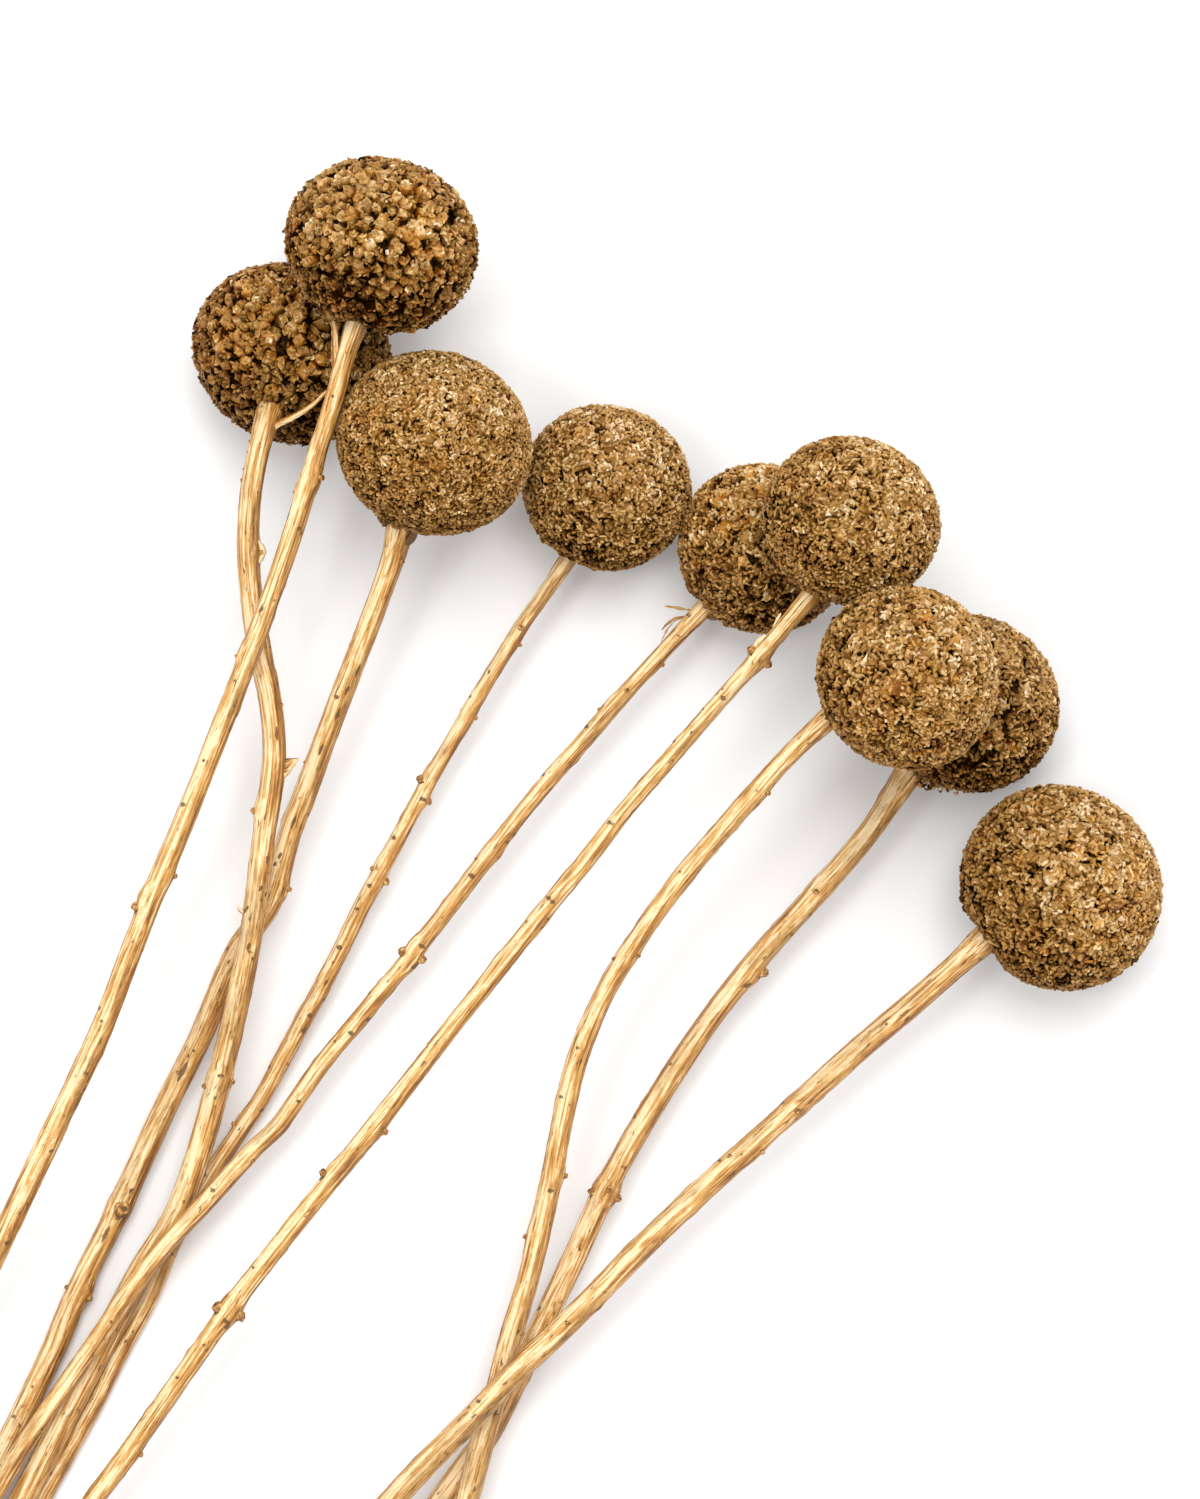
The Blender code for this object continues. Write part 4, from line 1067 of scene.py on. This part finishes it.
def papery_florets(grade, crumb):
    """Dried craspedia florets: papery tan lumps and chips, painted dark in the gaps as painted shade, with
    amber resin.

    The paleness is the floret's own tone with painted light, painted shade and painted glints, plus the
    crumple. Pale rims and resin shine a little, and gaps don't.
    """
    material, shader, add = new_material(f"dried papery florets, {grade}")
    shade, tint, amber = (add("ShaderNodeAttribute", {"attribute_name": label}) for label in (
        "shade", "tint", "amber"))
    where = add("ShaderNodeTexCoord")
    crumbs = add("ShaderNodeTexNoise", Vector=(where, "Object"), Scale=1.0 / (crumb * MM), Detail=3.0,
                 Roughness=0.65)
    dust = add("ShaderNodeTexNoise", Vector=(where, "Object"), Scale=1.0 / (DUST_SIZE * MM), Detail=2.0,
               Roughness=0.5)
    broken = add("ShaderNodeMath", MULTIPLY_ADD, i0=(crumbs, "Fac"), i1=SPECKLE, i2=(shade, "Fac"))
    level = add("ShaderNodeMath", {"operation": "SUBTRACT", "use_clamp": True}, i0=(broken, "Value"),
                i1=0.5 * SPECKLE)
    paper, resin = (add("ShaderNodeValToRGB", Fac=(level, "Value")) for _ in range(2))
    set_ramp(paper, PAPER)
    set_ramp(resin, RESIN)
    kinds = add("ShaderNodeMix", MIX, Factor=(amber, "Fac"), i6=(paper, "Color"), i7=(resin, "Color"))
    tone = add("ShaderNodeMapRange", Value=(tint, "Fac"), To_Min=FLORET_TONES[0], To_Max=FLORET_TONES[1])
    toned = add("ShaderNodeHueSaturation", Color=(kinds, 2), Value=(tone, "Result"))
    dusty = add("ShaderNodeMix", TINT, Factor=(dust, "Fac"), i6=(toned, "Color"), i7=linear(DUST))
    bump = add("ShaderNodeBump", Strength=0.5, Distance=CRUMB_HEIGHT, Height=(crumbs, "Fac"))
    gloss = add("ShaderNodeMath", MULTIPLY_ADD, i0=(amber, "Fac"), i1=RESIN_GLOSS, i2=PAPER_GLOSS)
    shine = add("ShaderNodeMath", MULTIPLY, i0=(level, "Value"), i1=(gloss, "Value"))
    plug(shader, {"Base Color": (dusty, 2), "Normal": (bump, "Normal"),
                  "Specular IOR Level": (shine, "Value"), "Roughness": PAPER_ROUGHNESS})
    return material


# A dried stem's skin goes from brown grooves to straw-yellow ribs, and where bark is left it is grey-brown.
STRAW = ((0.45, "#6a4014"), (0.61, "#966222"), (0.77, "#bc8740"), (0.91, "#d2a45f"), (1.0, "#ead1a4"))
BARK = ((0.34, "#4a3518"), (0.45, "#8d6a33"), (0.58, "#b38f55"), (0.72, "#cfac70"))
SCARS = "#583816"
BARK_COVER = 0.4
# Patterns of the skin: how many cells to the mm across the stem, and how many times fewer along it. They
# are fibres, fine lines, flakes, pits and the seams between plates of bark.
FIBRES_DRAWN = (1.5, 0.07)
LINES_DRAWN = (3.6, 0.018)
FLAKES_DRAWN = (1.6, 0.22)
PITS_DRAWN = (0.55, 0.5)
SEAMS_DRAWN = (0.8, 0.16)
# The paleness is the sum of these shares of the patterns and of the painted highlight on the lit side, plus a
# start.
FIBRE_SHARE = 1.2
LINE_SHARE = 1.1
FLAKE_SHARE = 0.5
PAINTED_HIGHLIGHT_SHARE = 0.31
PALE_START = -0.72
# How narrow the painted highlight is, as a power of the cosine of the turn from its middle.
PAINTED_HIGHLIGHT_NARROW = 3.0
# How far flakes make the edges of flecks, of marks and of seams ragged.
FLECK_RAGGED = 0.9
MARK_RAGGED = 0.9
SEAM_RAGGED = 0.5
# Where flecks, marks and cracks start and are full, and how dark they are then.
FLECK_RANGE = (0.51, 0.48, 0.9)
MARK_RANGE = (0.88, 1.0, 0.9)
CRACK_RANGE = (0.225, 0.19, 0.75)
# How strongly fine lines stand up against flakes, and how high the skin's relief is.
LINE_RELIEF = 1.5
SKIN_HEIGHT = 0.22 * MM
STRAW_ROUGHNESS = 0.36


def straw_stem():
    """A dried flower stem: straw-yellow fibrous skin, patches of bark, dark scars, and a painted highlight
    along its lit side.
    """
    material, shader, add = new_material("dried straw stem")
    grain, mark, bark, sunny = (add("ShaderNodeAttribute", {"attribute_name": label}) for label in (
        "grain", "mark", "bark", "sunny"))

    def drawn_out(kind, settings, pattern, **links):
        """A pattern drawn out along the stem."""
        scale, along = pattern
        place = add("ShaderNodeMapping", Vector=(grain, "Vector"), Scale=(1.0, 1.0, along))
        return add(kind, settings, Vector=(place, "Vector"), Scale=scale, **links)

    def between(value, limits):
        """How dark a mark is where a value passes from its first limit to its second."""
        return add("ShaderNodeMapRange", Value=value, From_Min=limits[0], From_Max=limits[1], To_Min=0.0,
                   To_Max=limits[2])

    fibres = drawn_out("ShaderNodeTexNoise", None, FIBRES_DRAWN, Detail=3.0, Roughness=0.55, Distortion=0.3)
    lines = drawn_out("ShaderNodeTexNoise", None, LINES_DRAWN, Detail=2.0, Roughness=0.6)
    flakes = drawn_out("ShaderNodeTexNoise", None, FLAKES_DRAWN, Detail=5.0, Roughness=0.7)
    pits = drawn_out("ShaderNodeTexVoronoi", {"feature": "F1"}, PITS_DRAWN)
    seams = drawn_out("ShaderNodeTexVoronoi", {"feature": "DISTANCE_TO_EDGE"}, SEAMS_DRAWN)

    # Painted highlight: the stem's lit side is made paler. A strip's own paleness comes in the same way.
    facing = add("ShaderNodeMath", MAXIMUM, i0=(sunny, "Fac"), i1=0.0)
    painted_highlight_band = add("ShaderNodeMath", {"operation": "POWER"}, i0=(facing, "Value"), i1=PAINTED_HIGHLIGHT_NARROW)
    # Each pattern in turn is added to the sum so far.
    level = PALE_START
    for pattern, output, share in ((lines, "Fac", LINE_SHARE), (fibres, "Fac", FIBRE_SHARE),
                                   (painted_highlight_band, "Value", PAINTED_HIGHLIGHT_SHARE), (flakes, "Fac", FLAKE_SHARE)):
        level = (add("ShaderNodeMath", MULTIPLY_ADD, i0=(pattern, output), i1=share, i2=level), "Value")
    straw = add("ShaderNodeValToRGB", Fac=level)
    set_ramp(straw, STRAW)
    barks = add("ShaderNodeValToRGB", Fac=(flakes, "Fac"))
    set_ramp(barks, BARK)
    patchy = add("ShaderNodeMath", MULTIPLY, i0=(bark, "Fac"), i1=BARK_COVER)
    skin = add("ShaderNodeMix", MIX, Factor=(patchy, "Value"), i6=(straw, "Color"), i7=(barks, "Color"))

    ragged = add("ShaderNodeMath", MULTIPLY_ADD, i0=(flakes, "Fac"), i1=FLECK_RAGGED, i2=(pits, "Distance"))
    torn = add("ShaderNodeMath", MULTIPLY_ADD, i0=(flakes, "Fac"), i1=MARK_RAGGED, i2=(mark, "Fac"))
    opened = add("ShaderNodeMath", MULTIPLY_ADD, i0=(flakes, "Fac"), i1=SEAM_RAGGED, i2=(seams, "Distance"))
    flecks = between((ragged, "Value"), FLECK_RANGE)
    broken = between((torn, "Value"), MARK_RANGE)
    cracks = between((opened, "Value"), CRACK_RANGE)
    spotted = add("ShaderNodeMath", MAXIMUM, i0=(flecks, "Result"), i1=(broken, "Result"))
    scars = add("ShaderNodeMath", MAXIMUM, i0=(cracks, "Result"), i1=(spotted, "Value"))
    scarred = add("ShaderNodeMix", MIX, Factor=(scars, "Value"), i6=(skin, 2), i7=linear(SCARS))

    ribbed = add("ShaderNodeMath", MULTIPLY_ADD, i0=(lines, "Fac"), i1=LINE_RELIEF, i2=(flakes, "Fac"))
    rough = add("ShaderNodeMath", {"operation": "SUBTRACT"}, i0=(ribbed, "Value"), i1=(scars, "Value"))
    bump = add("ShaderNodeBump", Strength=0.8, Distance=SKIN_HEIGHT, Height=(rough, "Value"))
    plug(shader, {"Base Color": (scarred, 2), "Normal": (bump, "Normal"), "Roughness": STRAW_ROUGHNESS})
    return material


# Paint gives the board a faint tooth, drawn coarser than the real one, which is too fine to show, in mm.
BOARD_WHITE = "#e6e6e7"
BOARD_TOOTH = 0.8
BOARD_TOOTH_HEIGHT = 0.05 * MM
BOARD_ROUGHNESS = 0.9


def white_board():
    """A white painted board: matt, so that it shows no reflection, only soft shadows."""
    material, shader, add = new_material("matt white board")
    where = add("ShaderNodeTexCoord")
    tooth = add("ShaderNodeTexNoise", Vector=(where, "Object"), Scale=1.0 / (BOARD_TOOTH * MM), Detail=2.0)
    bump = add("ShaderNodeBump", Strength=0.02, Distance=BOARD_TOOTH_HEIGHT, Height=(tooth, "Fac"))
    plug(shader, {"Base Color": linear(BOARD_WHITE), "Normal": (bump, "Normal"),
                  "Roughness": BOARD_ROUGHNESS})
    return material


# Stage

FLOOR_SIZE = 6.0
# Each light: its name, its place and size in metres, its power in watts and its colour.
LIGHTS = (("overhead softbox", (0.16, 0.70, 1.60), 0.9, 19.0, "#fffefc"),
          ("left lamp", (-0.42, 0.08, 1.40), 0.25, 2.6, "#fffdfa"))
TENT_COLOUR = "#fdfcfb"
TENT_STRENGTH = 1.10
SENSOR = 36.0


def lay_floor():
    """A wide flat board at the height of the surface that the bunch lies on."""
    bpy.ops.mesh.primitive_plane_add(size=FLOOR_SIZE)
    floor = bpy.context.active_object
    floor.name = "floor"
    floor.data.materials.append(white_board())


def hang_light(name, place, size, power, colour):
    """A square soft light that faces the middle of the floor."""
    light = bpy.data.lights.new(name, "AREA")
    light.size = size
    light.energy = power
    light.color = linear(colour)[:3]
    lamp = bpy.data.objects.new(name, light)
    lamp.location = place
    bpy.context.collection.objects.link(lamp)
    aim = lamp.constraints.new("TRACK_TO")
    aim.target = bpy.data.objects["floor"]
    aim.track_axis = "TRACK_NEGATIVE_Z"
    aim.up_axis = "UP_Y"


def set_camera():
    """A camera straight above the photograph's middle, with the photograph's frame on the surface."""
    camera = bpy.data.cameras.new("camera")
    camera.sensor_fit = "VERTICAL"
    camera.sensor_height = SENSOR
    camera.lens = SENSOR * EYE_HEIGHT / (PHOTO_SIZE[1] * PIXEL)
    camera.clip_start = 0.01
    eye = bpy.data.objects.new("camera", camera)
    eye.location = (-FOOTPRINT_MIDDLE[0], -FOOTPRINT_MIDDLE[1], EYE_HEIGHT)
    bpy.context.collection.objects.link(eye)
    bpy.context.scene.camera = eye


def set_world():
    """The white tent: an even surround that gives most of the light, so that shadows stay faint."""
    world = bpy.data.worlds.new("white surround")
    world.use_nodes = True
    background = world.node_tree.nodes["Background"]
    background.inputs["Color"].default_value = linear(TENT_COLOUR)
    background.inputs["Strength"].default_value = TENT_STRENGTH
    bpy.context.scene.world = world
    bpy.context.scene.view_settings.view_transform = "Standard"


# The random draws of head 1 start from 71 and those of stem 1 from 91, and so on.
HEAD_SEED = 70
STEM_SEED = 90


def main():
    """Dress the frame and set the stage."""
    fine, coarse = papery_florets("fine", FINE_CRUMBS), papery_florets("coarse", COARSE_CRUMBS)
    straw = straw_stem()
    for number, flower in enumerate(FLOWERS, start=1):
        paper = coarse if is_coarse(flower) else fine
        bloom = make_piece(f"florets_{number}", head_body(flower, HEAD_SEED + number), paper, False)
        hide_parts(f"head_{number}")
        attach(bloom, "root")
        stalk = make_piece(f"stalk_{number}", stem_body(flower, STEM_SEED + number), straw, True)
        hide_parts(f"stem_{number}")
        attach(stalk, "root")
    lay_floor()
    for light in LIGHTS:
        hang_light(*light)
    set_world()
    set_camera()


main()
